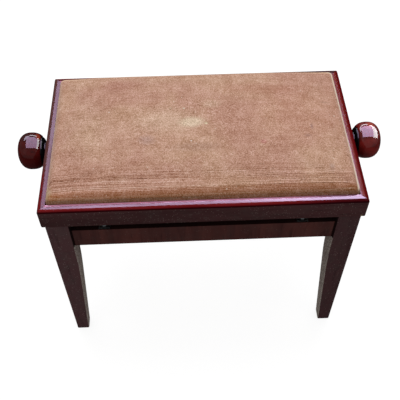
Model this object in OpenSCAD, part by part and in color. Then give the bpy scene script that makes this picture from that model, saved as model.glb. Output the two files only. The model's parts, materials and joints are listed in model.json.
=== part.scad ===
// Piano stool with a rectangular drop-in seat that two side knobs raise and lower.
// A steel scissor of two crossed arm pairs carries the seat. The knobs turn a threaded
// spindle, which draws a nut bar along the seat and closes the scissor.
// X runs left to right, Y front to back and Z up. The origin is on the floor under the middle.
// The stool is drawn with its seat at the lowest setting.

/* [Seat frame] */
// Width of the seat frame
seat_w = 560; // [500:1:640]
// Depth of the seat frame, front to back
seat_d = 330; // [300:1:380]
// Height of the seat frame's rails
seat_rail_h = 45; // [42:0.5:60]
// Thickness of the seat frame's rails
seat_rail_t = 22; // [19:0.5:26]
// Width of the rounded top edge
seat_edge_w = 4; // [3:0.5:8]
// Height of the rounded top edge
seat_edge_h = 5.5; // [4:0.5:12]
// Width of rail that shows beside the cushion
rebate_lip = 13; // [10:0.5:15]
// Depth of the rebate that the seat board drops into
rebate_depth = 9; // [7:0.5:12]
// Gap between the seat frame and the legs at the lowest setting
seat_gap = 2; // [1:0.5:6]

/* [Cushion] */
// Height of the cushion's crown over the seat frame
crown_rise = 27; // [22:0.5:45]
// Height of the cushion's shoulder over the seat frame
shoulder_rise = 18; // [11:0.5:20]
// How far the shoulder leans in from the cushion's edge
shoulder_in = 14; // [4:0.5:16]
// Radius of the cushion's corners, seen from above
cushion_corner_r = 10; // [10:0.5:20]
// How far the cushion's sides draw in between its corners
drawn_in = 3; // [0.5:0.5:6]
// Thickness of the cover's cloth
cover_t = 1.2; // [0.8:0.1:2]
// Width of the hem turned under the seat board
hem_w = 15; // [12:0.5:17]
// Thickness of the plywood seat board
board_t = 9; // [8:0.5:10]
// Height of the cushion's upright side over the seat board
side_rise = 1.5; // [0.5:0.5:3]

/* [Legs and aprons] */
// Height of the legs' tops over the floor
leg_h = 388; // [360:1:430]
// Width of a leg at its top
leg_w = 41; // [36:0.5:46]
// Width of a leg at its foot
foot_w = 24.5; // [21:0.5:32]
// Height at which the taper starts
knee_z = 255; // [200:1:270]
// Length over which the taper's start is eased, each way
knee_ease = 40; // [20:1:45]
// How far the legs stand in from the seat frame's faces
leg_inset = 5; // [3:0.5:12]
// Chamfer round the foot
foot_chamfer = 2; // [1:0.5:4]
// Radius of a leg's outer corner
leg_edge_r = 2; // [1:0.5:4]
// Height of the aprons
apron_h = 47; // [43:0.5:60]
// Thickness of the aprons
apron_t = 18; // [15:0.5:20]
// How far the aprons stand back from the legs' faces
apron_setback = 4; // [1:0.5:6]
// Distance from the legs' tops down to the aprons
apron_drop = 22.5; // [20:0.5:24]
// Thickness of the corner blocks
block_t = 18; // [14:0.5:20]
// Height of the corner blocks
block_h = 40; // [30:0.5:42]

/* [Lift mechanism] */
// Gap between the lower rails' ends and the corner blocks
rail_end_gap = 9.2; // [7:0.2:30]
// Height between the lower and the upper pivots at the lowest setting
pivot_rise = 60; // [56:0.5:62]
// How far the seat lifts
lift_travel = 100; // [60:1:120]
// Width of an arm
arm_w = 25; // [20:0.5:28]
// Thickness of the arms and rails
strip_t = 3; // [2.5:0.1:3.5]
// Diameter of the pivots
pivot_d = 10; // [8:0.5:12]
// Diameter of the cross rods between the arms
rod_d = 14; // [12.5:0.5:16]
// Diameter of the nylon rollers
roller_d = 14; // [13:0.5:16]
// Width of the two square cross bars
bar_w = 20; // [18:0.5:22]
// Height of the lower rails
lower_rail_h = 36; // [32:0.5:40]
// Depth of the upper rails' upright legs under the pivots
upper_rail_drop = 14; // [10:0.5:16]
// Width of the upper rails' flat legs
flange_w = 25; // [20:0.5:30]

/* [Spindle and knobs] */
// Diameter of the spindle
spindle_d = 12; // [10:0.5:14]
// Height of the spindle over the seat frame's lower edge
spindle_up = 15; // [14.5:0.5:18]
// Diameter of the knobs
knob_d = 68; // [60:1:76]
// How far the knobs reach out from the seat frame
knob_reach = 55; // [52:1:65]
// Length of a knob's wood
knob_l = 42; // [38:1:45]
// Distance from a knob's outer end to its widest place
knob_crest = 25; // [20:0.5:30]
// Diameter of the black collar beside the wood
collar_wood_d = 50; // [44:0.5:56]
// Diameter of the black collar beside the frame
collar_neck_d = 32; // [28:0.5:38]
// Diameter of the bushes in the side rails
bush_d = 20; // [18:0.5:22]
// Diameter of the bushes' flanges
bush_flange_d = 28; // [25:0.5:29]

/* [Fits] */
// Radial clearance of pins, rods and screws in their holes
fit = 0.08; // [0.02:0.01:0.1]
// Gap at soft pieces and between parts that slide past each other
slip = 0.3; // [0.2:0.05:0.5]
// Play between neighbouring arms and rails
side_play = 0.5; // [0.4:0.05:0.8]

/* [Hidden] */
$fn = 64;

// Colours
LACQUER = [0.20, 0.07, 0.06];
GLOSS_RED = [0.40, 0.06, 0.04];
BEECH = [0.70, 0.52, 0.33];
PLYWOOD = [0.78, 0.64, 0.44];
STEEL = [0.55, 0.56, 0.58];
DARK_STEEL = [0.30, 0.31, 0.33];
NYLON = [0.85, 0.85, 0.80];
BLACK = [0.05, 0.05, 0.05];
CORD_CLOTH = [0.70, 0.51, 0.41];
FOAM = [0.90, 0.84, 0.62];

// One overrun serves every cut
over = 1;
// Small eased edges on the wood
ease = 1.5;
// Eased edge on the inner side of the rails' flat tops
lip_ease = 0.8;
// Steps in an arc that is drawn with points
ARC_STEPS = 8;

// Levels, from the floor up
seat_z = leg_h + seat_gap;
seat_top_z = seat_z + seat_rail_h;
ledge_z = seat_top_z - rebate_depth;
board_z = ledge_z + cover_t;
board_top_z = board_z + board_t;
side_top_z = board_top_z + side_rise;
apron_top_z = leg_h - apron_drop;
apron_z = apron_top_z - apron_h;
upper_z = seat_z + spindle_up;
lower_z = upper_z - pivot_rise;
bolt_z = apron_z + apron_h / 2;

// Places of the outer and inner faces, from the middle
leg_x = seat_w / 2 - leg_inset;
leg_y = seat_d / 2 - leg_inset;
leg_in_x = leg_x - leg_w;
leg_in_y = leg_y - leg_w;
apron_in_x = leg_x - apron_setback - apron_t;
apron_in_y = leg_y - apron_setback - apron_t;
frame_in_x = seat_w / 2 - seat_rail_t;
frame_in_y = seat_d / 2 - seat_rail_t;
cushion_x = seat_w / 2 - rebate_lip - slip;
cushion_y = seat_d / 2 - rebate_lip - slip;

// The steel layers, from the apron in: lower rail, outer arm, inner arm, upper rail
lower_rail_y = apron_in_y - strip_t;
outer_arm_y = lower_rail_y - side_play - strip_t;
inner_arm_y = outer_arm_y - side_play - strip_t;
upper_rail_y = inner_arm_y - side_play - strip_t;
outer_arm_out_y = outer_arm_y + strip_t;
inner_arm_out_y = inner_arm_y + strip_t;
upper_rail_out_y = upper_rail_y + strip_t;

// Corner blocks run square across the corner's diagonal. A point's distances from the middle,
// X and Y added up, tell which face it lies on. The blocks end on the long aprons at block_end_x.
leg_flat_w = 8;
block_face_xy = leg_in_x + leg_in_y + leg_flat_w / sqrt(2);
block_back_xy = block_face_xy - block_t * sqrt(2);
block_end_x = block_back_xy - apron_in_y;

// The scissor: its span, arm length and angle at the lowest setting, and its spread at the highest
rail_past_pivot = 16;
pivot_span = 2 * (block_end_x - rail_end_gap - rail_past_pivot);
arm_l = sqrt(pivot_span * pivot_span + pivot_rise * pivot_rise);
rest_angle = atan2(pivot_rise, pivot_span);
raised_span = sqrt(arm_l * arm_l - (pivot_rise + lift_travel) * (pivot_rise + lift_travel));
slide_travel = pivot_span - raised_span;
fixed_x = -pivot_span / 2;
moving_x = pivot_span / 2;
centre_z = (lower_z + upper_z) / 2;
slot_play = 1.5;
rail_half = pivot_span / 2 + rail_past_pivot;
rail_corner_r = 4;

// Legs
glide_h = 2.5;
glide_d = 18;
glide_bevel = 1;
nail_d = 2;
nail_l = 12;
foot_taper = (leg_w - foot_w) / knee_z;

// Hanger bolts, washers and nuts in the corner blocks
bolt_d = 6;
bolt_in_leg = 28;
washer_d = 16;
washer_t = 1.6;
nut_af = 10;
nut_h = 5;
bolt_past_nut = 3;
hex_corner_share = 2 / sqrt(3);

// Screws: diameter, head and bite
screw_d = 4;
screw_head_d = 8;
screw_head_h = 2.4;
screw_bite = 7;
apron_screw_bite = 14;
face_screw_x = 50;
face_screw_drop = 10;
flange_screw_in = 30;
flange_screw_x = moving_x - flange_screw_in;
ear_w = 20;
ear_reach = 16;
ear_past_pivot = 5;
ear_screw_share = 0.6;
seat_block_l = 34;
seat_block_h = 26;
seat_block_screw_in = 11;

// Clips, spacers and pins
clip_d = 18;
clip_t = 1.2;
clip_gap = 0.2;
pin_past_clip = 1;
roll_slip = 0.2;

// Upper rail's bend
bend_out_r = 4;
bend_in_r = 1;

// Spindle fittings
knob_cap = 17;
knob_power = 2.3;
bush_flange_t = 2.5;
knob_play = 0.5;
collar_l = knob_reach - knob_l - bush_flange_t - knob_play;
collar_neck_l_share = 0.3;
collar_step = 1.5;
thrust_d = 22;
thrust_l = 8;
thrust_play = 0.4;
grub_d = 4;
grub_sink = 0.4;
grub_share = 0.7;
spindle_half = seat_w / 2 + knob_reach - knob_cap;

// Cushion's rings: points along a long side, a short side and a corner
LONG_STEPS = 5;
SHORT_STEPS = 3;
CORNER_STEPS = 4;
SHOULDER_STEPS = 4;
shoulder_sweep = 75;
crown_ring_shares = [0.86, 0.62, 0.32];
crown_power = 2.2;

// Points of an ellipse's arc about a centre
function arc(c, rx, ry, from, to, steps = ARC_STEPS) =
    [for (i = [0:steps]) let (a = from + (to - from) * i / steps) [c.x + rx * cos(a), c.y + ry * sin(a)]];

// Repeats its children mirrored front to back
module both_sides() {
    children();
    mirror([0, 1, 0]) children();
}

// Moves a piece of the front left corner to one of the four corners
module at_corner(right, back)
    mirror([right ? 1 : 0, 0, 0]) mirror([0, back ? 1 : 0, 0]) children();

module at_corners()
    for (right = [false, true], back = [false, true]) at_corner(right, back) children();

// A rod along Y, between two places
module y_rod(d, y0, y1)
    translate([0, y0, 0]) rotate([-90, 0, 0]) cylinder(d = d, h = y1 - y0);

// A rod along X, between two places
module x_rod(d, x0, x1)
    translate([x0, 0, 0]) rotate([0, 90, 0]) cylinder(d = d, h = x1 - x0);

// A flat plate of the front side from its XZ outline, with its inner face y_in from the middle
module plate(y_in, t)
    translate([0, -y_in, 0]) rotate([90, 0, 0]) linear_extrude(t) children();

// A YZ outline carried along X, between two places
module along_x(x0, x1)
    translate([x0, 0, 0]) rotate([90, 0, 90]) linear_extrude(x1 - x0) children();

// A pan-head wood screw: its head stands on z = 0 and its shank runs down
module pan_screw(bite, head_h = screw_head_h) {
    rotate_extrude()
        polygon(concat(
            [[0, -bite], [screw_d / 2, -bite + screw_d], [screw_d / 2, 0], [screw_head_d / 2, 0]],
            arc([0, 0], screw_head_d / 2, head_h, ARC_STEPS, 90)
        ));
}

// The screw's hole, from a little over the surface down
module screw_hole(bite)
    translate([0, 0, -bite - slip]) cylinder(d = screw_d + 2 * fit, h = bite + slip + over);

// A retaining ring on a pin along Y, its inner face at y0
module clip_at(y0)
    difference() {
        y_rod(clip_d, y0, y0 + clip_t);
        y_rod(pivot_d + 2 * fit, y0 - over, y0 + clip_t + over);
    }

// Legs: the outline is tapered on its inner side only, below an eased knee
function leg_outline() =
    let (
        z0 = glide_h,
        low = [leg_w - foot_taper * knee_ease, knee_z - knee_ease],
        high = [leg_w, knee_z + knee_ease]
    )
    concat(
        [[foot_chamfer, z0], [foot_w + foot_taper * z0 - foot_chamfer, z0]],
        [[foot_w + foot_taper * (z0 + foot_chamfer), z0 + foot_chamfer]],
        [for (i = [0:ARC_STEPS]) let (t = i / ARC_STEPS)
            low * (1 - t) * (1 - t) + [leg_w, knee_z] * 2 * t * (1 - t) + high * t * t],
        [[leg_w, leg_h], [0, leg_h], [0, z0 + foot_chamfer]]
    );

module leg_blank()
    difference() {
        intersection() {
            translate([0, leg_w, 0]) rotate([90, 0, 0]) linear_extrude(leg_w) polygon(leg_outline());
            rotate([90, 0, 90]) linear_extrude(leg_w) polygon(leg_outline());
        }
        // outer corner rounded
        translate([0, 0, -over])
            linear_extrude(leg_h + 2 * over)
                difference() {
                    translate([-over, -over]) square(leg_edge_r + over);
                    translate([leg_edge_r, leg_edge_r]) circle(leg_edge_r);
                }
        // flat on the inner corner, where the corner block bears
        translate([leg_w, leg_w, apron_z])
            rotate(45)
                translate([-leg_flat_w / 2, -leg_w, 0]) cube([leg_w, 2 * leg_w, leg_h]);
    }

module in_corner_diagonal()
    translate([-leg_in_x, -leg_in_y, bolt_z]) rotate([0, 0, 45]) rotate([0, 90, 0]) children();

module leg(right, back)
    color(LACQUER)
        at_corner(right, back)
            difference() {
                translate([-leg_x, -leg_y, 0]) leg_blank();
                in_corner_diagonal()
                    translate([0, 0, -leg_flat_w / 2 - bolt_in_leg - slip])
                        cylinder(d = bolt_d + 2 * fit, h = bolt_in_leg + slip + over);
                translate([-leg_x + foot_w / 2, -leg_y + foot_w / 2, glide_h - over])
                    cylinder(d = nail_d + 2 * fit, h = nail_l + over + slip);
            }

module front_left_leg() leg(false, false);
module front_right_leg() leg(true, false);
module back_left_leg() leg(false, true);
module back_right_leg() leg(true, true);

module foot_glides()
    color(NYLON)
        at_corners()
            translate([-leg_x + foot_w / 2, -leg_y + foot_w / 2, 0])
                rotate_extrude()
                    polygon([
                        [0, 0], [glide_d / 2 - glide_bevel, 0], [glide_d / 2, glide_bevel],
                        [glide_d / 2, glide_h], [nail_d / 2, glide_h],
                        [nail_d / 2, glide_h + nail_l], [0, glide_h + nail_l],
                    ]);

// Aprons: the lower edges are eased
module apron_board(length)
    along_x(-length / 2, length / 2)
        polygon(concat(
            arc([ease, ease], ease, ease, 180, 270),
            arc([apron_t - ease, ease], ease, ease, 270, 360),
            [[apron_t, apron_h], [0, apron_h]]
        ));

module long_apron() {
    difference() {
        translate([0, -apron_in_y - apron_t, apron_z]) apron_board(2 * leg_in_x);
        lower_rail_screw_places() screw_hole(apron_screw_bite);
    }
}

module side_apron()
    translate([-apron_in_x - apron_t, 0, apron_z]) rotate(-90) apron_board(2 * leg_in_y);

module front_apron() color(LACQUER) long_apron();
module back_apron() color(LACQUER) mirror([0, 1, 0]) long_apron();
module left_apron() color(LACQUER) side_apron();
module right_apron() color(LACQUER) mirror([1, 0, 0]) side_apron();

// Corner blocks: each bridges two aprons across the leg's flat
module corner_blocks()
    color(BEECH)
        at_corners()
            difference() {
                translate([0, 0, bolt_z - block_h / 2])
                    linear_extrude(block_h)
                        polygon([
                            [apron_in_y - block_face_xy, -apron_in_y], [-block_end_x, -apron_in_y],
                            [-apron_in_x, apron_in_x - block_back_xy],
                            [-apron_in_x, apron_in_x - block_face_xy],
                        ]);
                in_corner_diagonal()
                    translate([0, 0, -leg_flat_w])
                        cylinder(d = bolt_d + 2 * fit, h = 2 * block_t + leg_flat_w);
            }

block_back = block_t - leg_flat_w / 2;

module hanger_bolts()
    color(STEEL)
        at_corners()
            in_corner_diagonal()
                translate([0, 0, -leg_flat_w / 2 - bolt_in_leg])
                    cylinder(d = bolt_d, h = bolt_in_leg + block_t + washer_t + nut_h + bolt_past_nut);

module bolt_ring(outer_d, h, sides)
    difference() {
        cylinder(d = outer_d, h = h, $fn = sides);
        translate([0, 0, -over]) cylinder(d = bolt_d + 2 * fit, h = h + 2 * over);
    }

module bolt_washers()
    color(STEEL)
        at_corners() in_corner_diagonal() translate([0, 0, block_back]) bolt_ring(washer_d, washer_t, $fn);

module leg_nuts()
    color(STEEL)
        at_corners()
            in_corner_diagonal()
                translate([0, 0, block_back + washer_t]) bolt_ring(nut_af * hex_corner_share, nut_h, 6);

// Lower rails: steel strips on the aprons' inner faces, with two ears bent over the top edge
module strip_outline(half_l, h)
    difference() {
        translate([-half_l, -h / 2]) square([2 * half_l, h]);
        for (sx = [-1, 1], sz = [-1, 1])
            scale([sx, sz])
                translate([half_l - rail_corner_r, h / 2 - rail_corner_r])
                    difference() {
                        square(rail_corner_r + over);
                        circle(rail_corner_r);
                    }
    }

module slot_outline(d, play)
    for (x = [moving_x - slide_travel - play, moving_x + play]) {
        translate([x, 0]) circle(d = d);
        translate([moving_x - slide_travel - play, -d / 2]) square([slide_travel + 2 * play, d]);
    }

ear_x = pivot_span / 2 + ear_past_pivot;

// Children stand on the front rail's screw seats with +Z out of the wood
module lower_rail_screw_places()
    for (side = [-1, 1]) {
        translate([side * ear_x, -apron_in_y - ear_reach * ear_screw_share, apron_top_z + strip_t])
            children();
        translate([side * face_screw_x, -lower_rail_y, lower_z - face_screw_drop])
            rotate([-90, 0, 0]) children();
    }

module lower_rail()
    difference() {
        union() {
            plate(lower_rail_y, strip_t)
                translate([0, lower_z])
                    difference() {
                        strip_outline(rail_half, lower_rail_h);
                        translate([fixed_x, 0]) circle(d = pivot_d + 2 * fit);
                        slot_outline(roller_d + 2 * roll_slip, slot_play);
                    }
            for (side = [-1, 1])
                along_x(side * ear_x - ear_w / 2, side * ear_x + ear_w / 2)
                    polygon(concat(
                        [[-apron_in_y, lower_z + lower_rail_h / 2 - over]],
                        [[-lower_rail_y, lower_z + lower_rail_h / 2 - over]],
                        arc([-apron_in_y, apron_top_z], strip_t, strip_t, 0, 90),
                        [[-apron_in_y - ear_reach, apron_top_z + strip_t]],
                        [[-apron_in_y - ear_reach, apron_top_z], [-apron_in_y, apron_top_z]]
                    ));
        }
        lower_rail_screw_places() screw_hole(apron_screw_bite);
    }

module lower_front_rail() color(DARK_STEEL) lower_rail();
module lower_back_rail() color(DARK_STEEL) mirror([0, 1, 0]) lower_rail();
module lower_rail_screws() color(STEEL) both_sides() lower_rail_screw_places() pan_screw(apron_screw_bite);

// A cross rod: thick between two shoulders, thin from there to its ends
module shouldered_rod(shoulder_y, end_y) {
    y_rod(rod_d, -shoulder_y, shoulder_y);
    y_rod(pivot_d, -end_y, end_y);
}

module lower_pivot_rod()
    color(STEEL)
        translate([fixed_x, 0, lower_z]) shouldered_rod(outer_arm_y - clip_gap, apron_in_y - clip_gap);

// Arms: round-ended strips with a hole at each end and one in the middle
module arm_outline()
    difference() {
        union() {
            circle(d = arm_w);
            translate([arm_l, 0]) circle(d = arm_w);
            translate([0, -arm_w / 2]) square([arm_l, arm_w]);
        }
        for (x = [0, arm_l / 2, arm_l]) translate([x, 0]) circle(d = pivot_d + 2 * fit);
    }

module outer_arm()
    plate(outer_arm_y, strip_t) translate([fixed_x, lower_z]) rotate(rest_angle) arm_outline();

module inner_arm()
    plate(inner_arm_y, strip_t) translate([fixed_x, upper_z]) rotate(-rest_angle) arm_outline();

module outer_arm_front() color(DARK_STEEL) outer_arm();
module outer_arm_back() color(DARK_STEEL) mirror([0, 1, 0]) outer_arm();
module inner_arm_front() color(DARK_STEEL) inner_arm();
module inner_arm_back() color(DARK_STEEL) mirror([0, 1, 0]) inner_arm();

module centre_pivot_rod()
    color(STEEL)
        translate([0, 0, centre_z])
            shouldered_rod(inner_arm_y - clip_gap, outer_arm_out_y + clip_gap + clip_t + pin_past_clip);

module centre_pivot_clips()
    color(STEEL) both_sides() translate([0, 0, centre_z]) clip_at(outer_arm_out_y + clip_gap);

module lower_slide_rod()
    color(STEEL)
        translate([moving_x, 0, lower_z]) shouldered_rod(inner_arm_y - clip_gap, apron_in_y - slip);

module slide_rollers()
    color(NYLON)
        both_sides()
            translate([moving_x, 0, lower_z])
                difference() {
                    y_rod(roller_d, inner_arm_out_y + slip, apron_in_y - slip);
                    y_rod(pivot_d + 2 * fit, inner_arm_out_y - over, apron_in_y + over);
                }

// The two square cross bars, with a pin at each end and the spindle's hole in the middle
module cross_bar(end_y)
    difference() {
        union() {
            translate([-bar_w / 2, -upper_rail_y + clip_gap, -bar_w / 2])
                cube([bar_w, 2 * (upper_rail_y - clip_gap), bar_w]);
            y_rod(pivot_d, -end_y, end_y);
        }
        x_rod(spindle_d + 2 * fit, -bar_w, bar_w);
    }

module fixed_cross_bar()
    color(STEEL)
        translate([fixed_x, 0, upper_z]) cross_bar(inner_arm_out_y + clip_gap + clip_t + pin_past_clip);

module fixed_bar_clips()
    color(STEEL) both_sides() translate([fixed_x, 0, upper_z]) clip_at(inner_arm_out_y + clip_gap);

module nut_bar()
    color(STEEL)
        translate([moving_x, 0, upper_z]) cross_bar(outer_arm_out_y + clip_gap + clip_t + pin_past_clip);

module nut_bar_spacers()
    color(STEEL)
        both_sides()
            translate([moving_x, 0, upper_z])
                difference() {
                    y_rod(rod_d, upper_rail_out_y + clip_gap, outer_arm_y - clip_gap);
                    y_rod(pivot_d + 2 * fit, upper_rail_y, outer_arm_y + over);
                }

module nut_bar_clips()
    color(STEEL) both_sides() translate([moving_x, 0, upper_z]) clip_at(outer_arm_out_y + clip_gap);

// Upper rails: steel angles under the seat board
module flange_screw_places()
    for (x = [-flange_screw_x, -face_screw_x, face_screw_x, flange_screw_x])
        translate([x, -upper_rail_out_y + flange_w / 2 + bend_out_r / 2, board_z - strip_t])
            rotate([180, 0, 0]) children();

module upper_rail()
    difference() {
        along_x(-rail_half, rail_half)
            polygon(concat(
                [[-upper_rail_out_y, upper_z - upper_rail_drop]],
                [[-upper_rail_y, upper_z - upper_rail_drop]],
                arc(
                    [-upper_rail_y + bend_in_r, board_z - strip_t - bend_in_r],
                    bend_in_r, bend_in_r, 180, 90
                ),
                [[-upper_rail_out_y + flange_w, board_z - strip_t]],
                [[-upper_rail_out_y + flange_w, board_z]],
                arc(
                    [-upper_rail_out_y + bend_out_r, board_z - bend_out_r],
                    bend_out_r, bend_out_r, 90, 180
                )
            ));
        translate([fixed_x, 0, upper_z])
            y_rod(pivot_d + 2 * fit, -upper_rail_out_y - over, -upper_rail_y + over);
        plate(upper_rail_y - over, strip_t + 2 * over)
            translate([0, upper_z]) slot_outline(pivot_d + 2 * roll_slip, slot_play);
        flange_screw_places() screw_hole(strip_t + screw_bite);
    }

module upper_front_rail() color(DARK_STEEL) upper_rail();
module upper_back_rail() color(DARK_STEEL) mirror([0, 1, 0]) upper_rail();
module upper_rail_screws() color(STEEL) both_sides() flange_screw_places() pan_screw(strip_t + screw_bite);

// Seat frame: one moulded section, mitred at the corners
module rail_section()
    polygon(concat(
        arc([ease, ease], ease, ease, 180, 270),
        arc([seat_rail_t - ease, ease], ease, ease, 270, 360),
        [[seat_rail_t, seat_rail_h - rebate_depth], [rebate_lip, seat_rail_h - rebate_depth]],
        arc([rebate_lip - lip_ease, seat_rail_h - lip_ease], lip_ease, lip_ease, 0, 90),
        arc([seat_edge_w, seat_rail_h - seat_edge_h], seat_edge_w, seat_edge_h, 90, 180)
    ));

module mitred_rail(length)
    intersection() {
        along_x(-length / 2, length / 2) rail_section();
        linear_extrude(seat_rail_h)
            polygon([
                [-length / 2, 0], [length / 2, 0],
                [length / 2 - seat_rail_t, seat_rail_t], [-length / 2 + seat_rail_t, seat_rail_t],
            ]);
    }

module side_rail()
    difference() {
        translate([-seat_w / 2, 0, seat_z]) rotate(-90) mitred_rail(seat_d);
        translate([0, 0, upper_z])
            x_rod(bush_d + 2 * fit, -seat_w / 2 - over, -frame_in_x + over);
    }

module long_rail() translate([0, -seat_d / 2, seat_z]) mitred_rail(seat_w);

module seat_front_rail() color(LACQUER) long_rail();
module seat_back_rail() color(LACQUER) mirror([0, 1, 0]) long_rail();
module seat_left_rail() color(LACQUER) side_rail();
module seat_right_rail() color(LACQUER) mirror([1, 0, 0]) side_rail();

// Children hang under the seat's corner blocks, with +Z down
module seat_block_screw_places()
    at_corners()
        translate([
            -frame_in_x + seat_block_screw_in, -frame_in_y + seat_block_screw_in, ledge_z - seat_block_h
        ])
            rotate([180, 0, 0]) children();

seat_block_screw_l = seat_block_h + cover_t + screw_bite;

module seat_corner_blocks()
    color(BEECH)
        difference() {
            at_corners()
                translate([-frame_in_x, -frame_in_y, ledge_z - seat_block_h])
                    linear_extrude(seat_block_h) polygon([[0, 0], [seat_block_l, 0], [0, seat_block_l]]);
            seat_block_screw_places() screw_hole(seat_block_screw_l);
        }

module corner_block_screws() color(STEEL) seat_block_screw_places() pan_screw(seat_block_screw_l);

// Drop-in seat: plywood board, foam pad and a cord cloth cover turned under the board
module rounded_plan(x, y, r) {
    square([2 * x, 2 * (y - r)], center = true);
    square([2 * (x - r), 2 * y], center = true);
    for (sx = [-1, 1], sy = [-1, 1]) translate([sx * (x - r), sy * (y - r)]) circle(r);
}

module seat_board() {
    inset = cover_t + slip;
    color(PLYWOOD)
        difference() {
            translate([0, 0, board_z])
                linear_extrude(board_t)
                    rounded_plan(cushion_x - inset, cushion_y - inset, cushion_corner_r - inset);
            seat_block_screw_places() screw_hole(seat_block_screw_l);
            both_sides() flange_screw_places() screw_hole(strip_t + screw_bite);
        }
}

// One quarter of a cushion ring, from the middle of a side round the corner to the next side.
// Its straight parts draw in by pull halfway along.
function ring_quarter(x, y, r, pull, first, second) =
    concat(
        [for (i = [0:first - 1]) let (t = i / first) [x - pull * (1 - t * t), (y - r) * t]],
        arc([x - r, y - r], r, r, 0, 90, CORNER_STEPS),
        [for (i = [second - 1:-1:1]) let (t = i / second) [(x - r) * t, y - pull * (1 - t * t)]]
    );

function turned(points) = [for (p = points) [-p.y, p.x]];

function ring(x, y, r, pull) =
    let (
        a = ring_quarter(x, y, r, pull, SHORT_STEPS, LONG_STEPS),
        b = turned(ring_quarter(y, x, r, pull, LONG_STEPS, SHORT_STEPS))
    )
    concat(a, b, turned(turned(a)), turned(turned(b)));

function level(points, z) = [for (p = points) [p.x, p.y, z]];

// Height of the crown over the shoulder, highest in the middle and nothing at the edge
function fall(distance, half) = 1 - pow(min(1, abs(distance) / half), crown_power);
function crown(p, x, y) = (crown_rise - shoulder_rise) * fall(p.x, x) * fall(p.y, y);

// Height of the shoulder at an angle of its quarter turn, from the upright side to the crown
function shoulder_z(inset, angle) =
    let (climb = seat_top_z + shoulder_rise - side_top_z)
    side_top_z + climb * sin(angle) / sin(shoulder_sweep) - inset * sin(angle);

// The upper surface of the cushion, drawn in by inset on all sides: its side, shoulder and crown
function cushion_rings(inset, low_z) =
    let (
        x = cushion_x - inset,
        y = cushion_y - inset,
        r = cushion_corner_r - inset,
        edge_in = shoulder_in * (1 - cos(shoulder_sweep)),
        edge_z = shoulder_z(inset, shoulder_sweep),
        edge = ring(x - edge_in, y - edge_in, r, drawn_in)
    )
    concat(
        [level(ring(x, y, r, 0), low_z)],
        [for (i = [0:SHOULDER_STEPS]) let (a = shoulder_sweep * i / SHOULDER_STEPS)
            level(
                ring(
                    x - shoulder_in * (1 - cos(a)), y - shoulder_in * (1 - cos(a)), r,
                    drawn_in * i / SHOULDER_STEPS
                ),
                shoulder_z(inset, a)
            )],
        [for (s = crown_ring_shares)
            [for (p = edge) [p.x * s, p.y * s, edge_z + crown(p * s, x - edge_in, y - edge_in)]]]
    );

function crown_point(inset) = [0, 0, shoulder_z(inset, shoulder_sweep) + crown_rise - shoulder_rise];

// Closes a stack of equal rings with a point at each end. The first bands, up to flipped, are split
// along their other diagonal, so that an inner surface keeps parallel to its outer one.
module ring_solid(low_point, rings, high_point, flipped = 0) {
    n = len(rings[0]);
    m = len(rings);
    points = concat([for (one = rings) each one], [low_point, high_point]);
    sides = [for (k = [0:m - 2], i = [0:n - 1]) let (j = (i + 1) % n, a = k * n, b = (k + 1) * n)
        each k < flipped
            ? [[a + i, b + i, a + j], [a + j, b + i, b + j]]
            : [[a + i, b + i, b + j], [a + i, b + j, a + j]]];
    low_fan = [for (i = [0:n - 1]) [m * n, i, (i + 1) % n]];
    high_fan = [for (i = [0:n - 1]) [m * n + 1, (m - 1) * n + (i + 1) % n, (m - 1) * n + i]];
    polyhedron(points = points, faces = concat(sides, low_fan, high_fan), convexity = 4);
}

function reversed(list) = [for (i = [len(list) - 1:-1:0]) list[i]];

module foam_pad() {
    inset = cover_t + slip;
    color(FOAM)
        ring_solid([0, 0, board_top_z], cushion_rings(inset, board_top_z), crown_point(inset));
}

// The cover runs from the crown down its outside, under the board as a hem, and back up its inside
module seat_cover() {
    hem = level(ring(cushion_x - hem_w, cushion_y - hem_w, cushion_corner_r - cover_t, 0), ledge_z);
    hem_top = [for (p = hem) [p.x, p.y, board_z]];
    inside = reversed(cushion_rings(cover_t, board_z));
    color(CORD_CLOTH)
        ring_solid(
            crown_point(cover_t),
            concat(inside, [hem_top, hem], cushion_rings(0, ledge_z)),
            crown_point(0),
            len(inside) - 1
        );
}

// Spindle, along X through both bars and both side rails
module on_spindle() translate([0, 0, upper_z]) children();

module spindle() color(STEEL) on_spindle() x_rod(spindle_d, -spindle_half, spindle_half);

module escutcheon()
    on_spindle()
        difference() {
            union() {
                x_rod(bush_d, -seat_w / 2, -frame_in_x);
                x_rod(bush_flange_d, -seat_w / 2 - bush_flange_t, -seat_w / 2);
            }
            x_rod(spindle_d + 2 * fit, -seat_w / 2 - bush_flange_t - over, -frame_in_x + over);
        }

module left_escutcheon() color(BLACK) escutcheon();
module right_escutcheon() color(BLACK) mirror([1, 0, 0]) escutcheon();

// Knob: a bun turned on the spindle's axis, its two halves superellipses that meet at the crest
function knob_point(angle, crest_z, length) =
    [knob_d / 2 * pow(cos(angle), 2 / knob_power), crest_z + length * pow(sin(angle), 2 / knob_power)];

module knob_turning() {
    bore_r = spindle_d / 2 + fit;
    crest_z = knob_l - knob_crest;
    inner_l = crest_z / pow(1 - pow(collar_wood_d / knob_d, knob_power), 1 / knob_power);
    start = asin(pow(crest_z / inner_l, knob_power / 2));
    rotate_extrude()
        polygon(concat(
            [[bore_r, knob_l - knob_cap], [bore_r, 0]],
            [for (i = [0:ARC_STEPS]) knob_point(start * (1 - i / ARC_STEPS), crest_z, -inner_l)],
            [for (i = [1:2 * ARC_STEPS]) knob_point(90 * i / (2 * ARC_STEPS), crest_z, knob_crest)],
            [[0, knob_l - knob_cap]]
        ));
}

module left_knob_place()
    on_spindle() translate([-seat_w / 2 - knob_reach + knob_l, 0, 0]) rotate([0, -90, 0]) children();

module left_knob() color(GLOSS_RED) left_knob_place() knob_turning();
module right_knob() color(GLOSS_RED) mirror([1, 0, 0]) left_knob_place() knob_turning();

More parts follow.
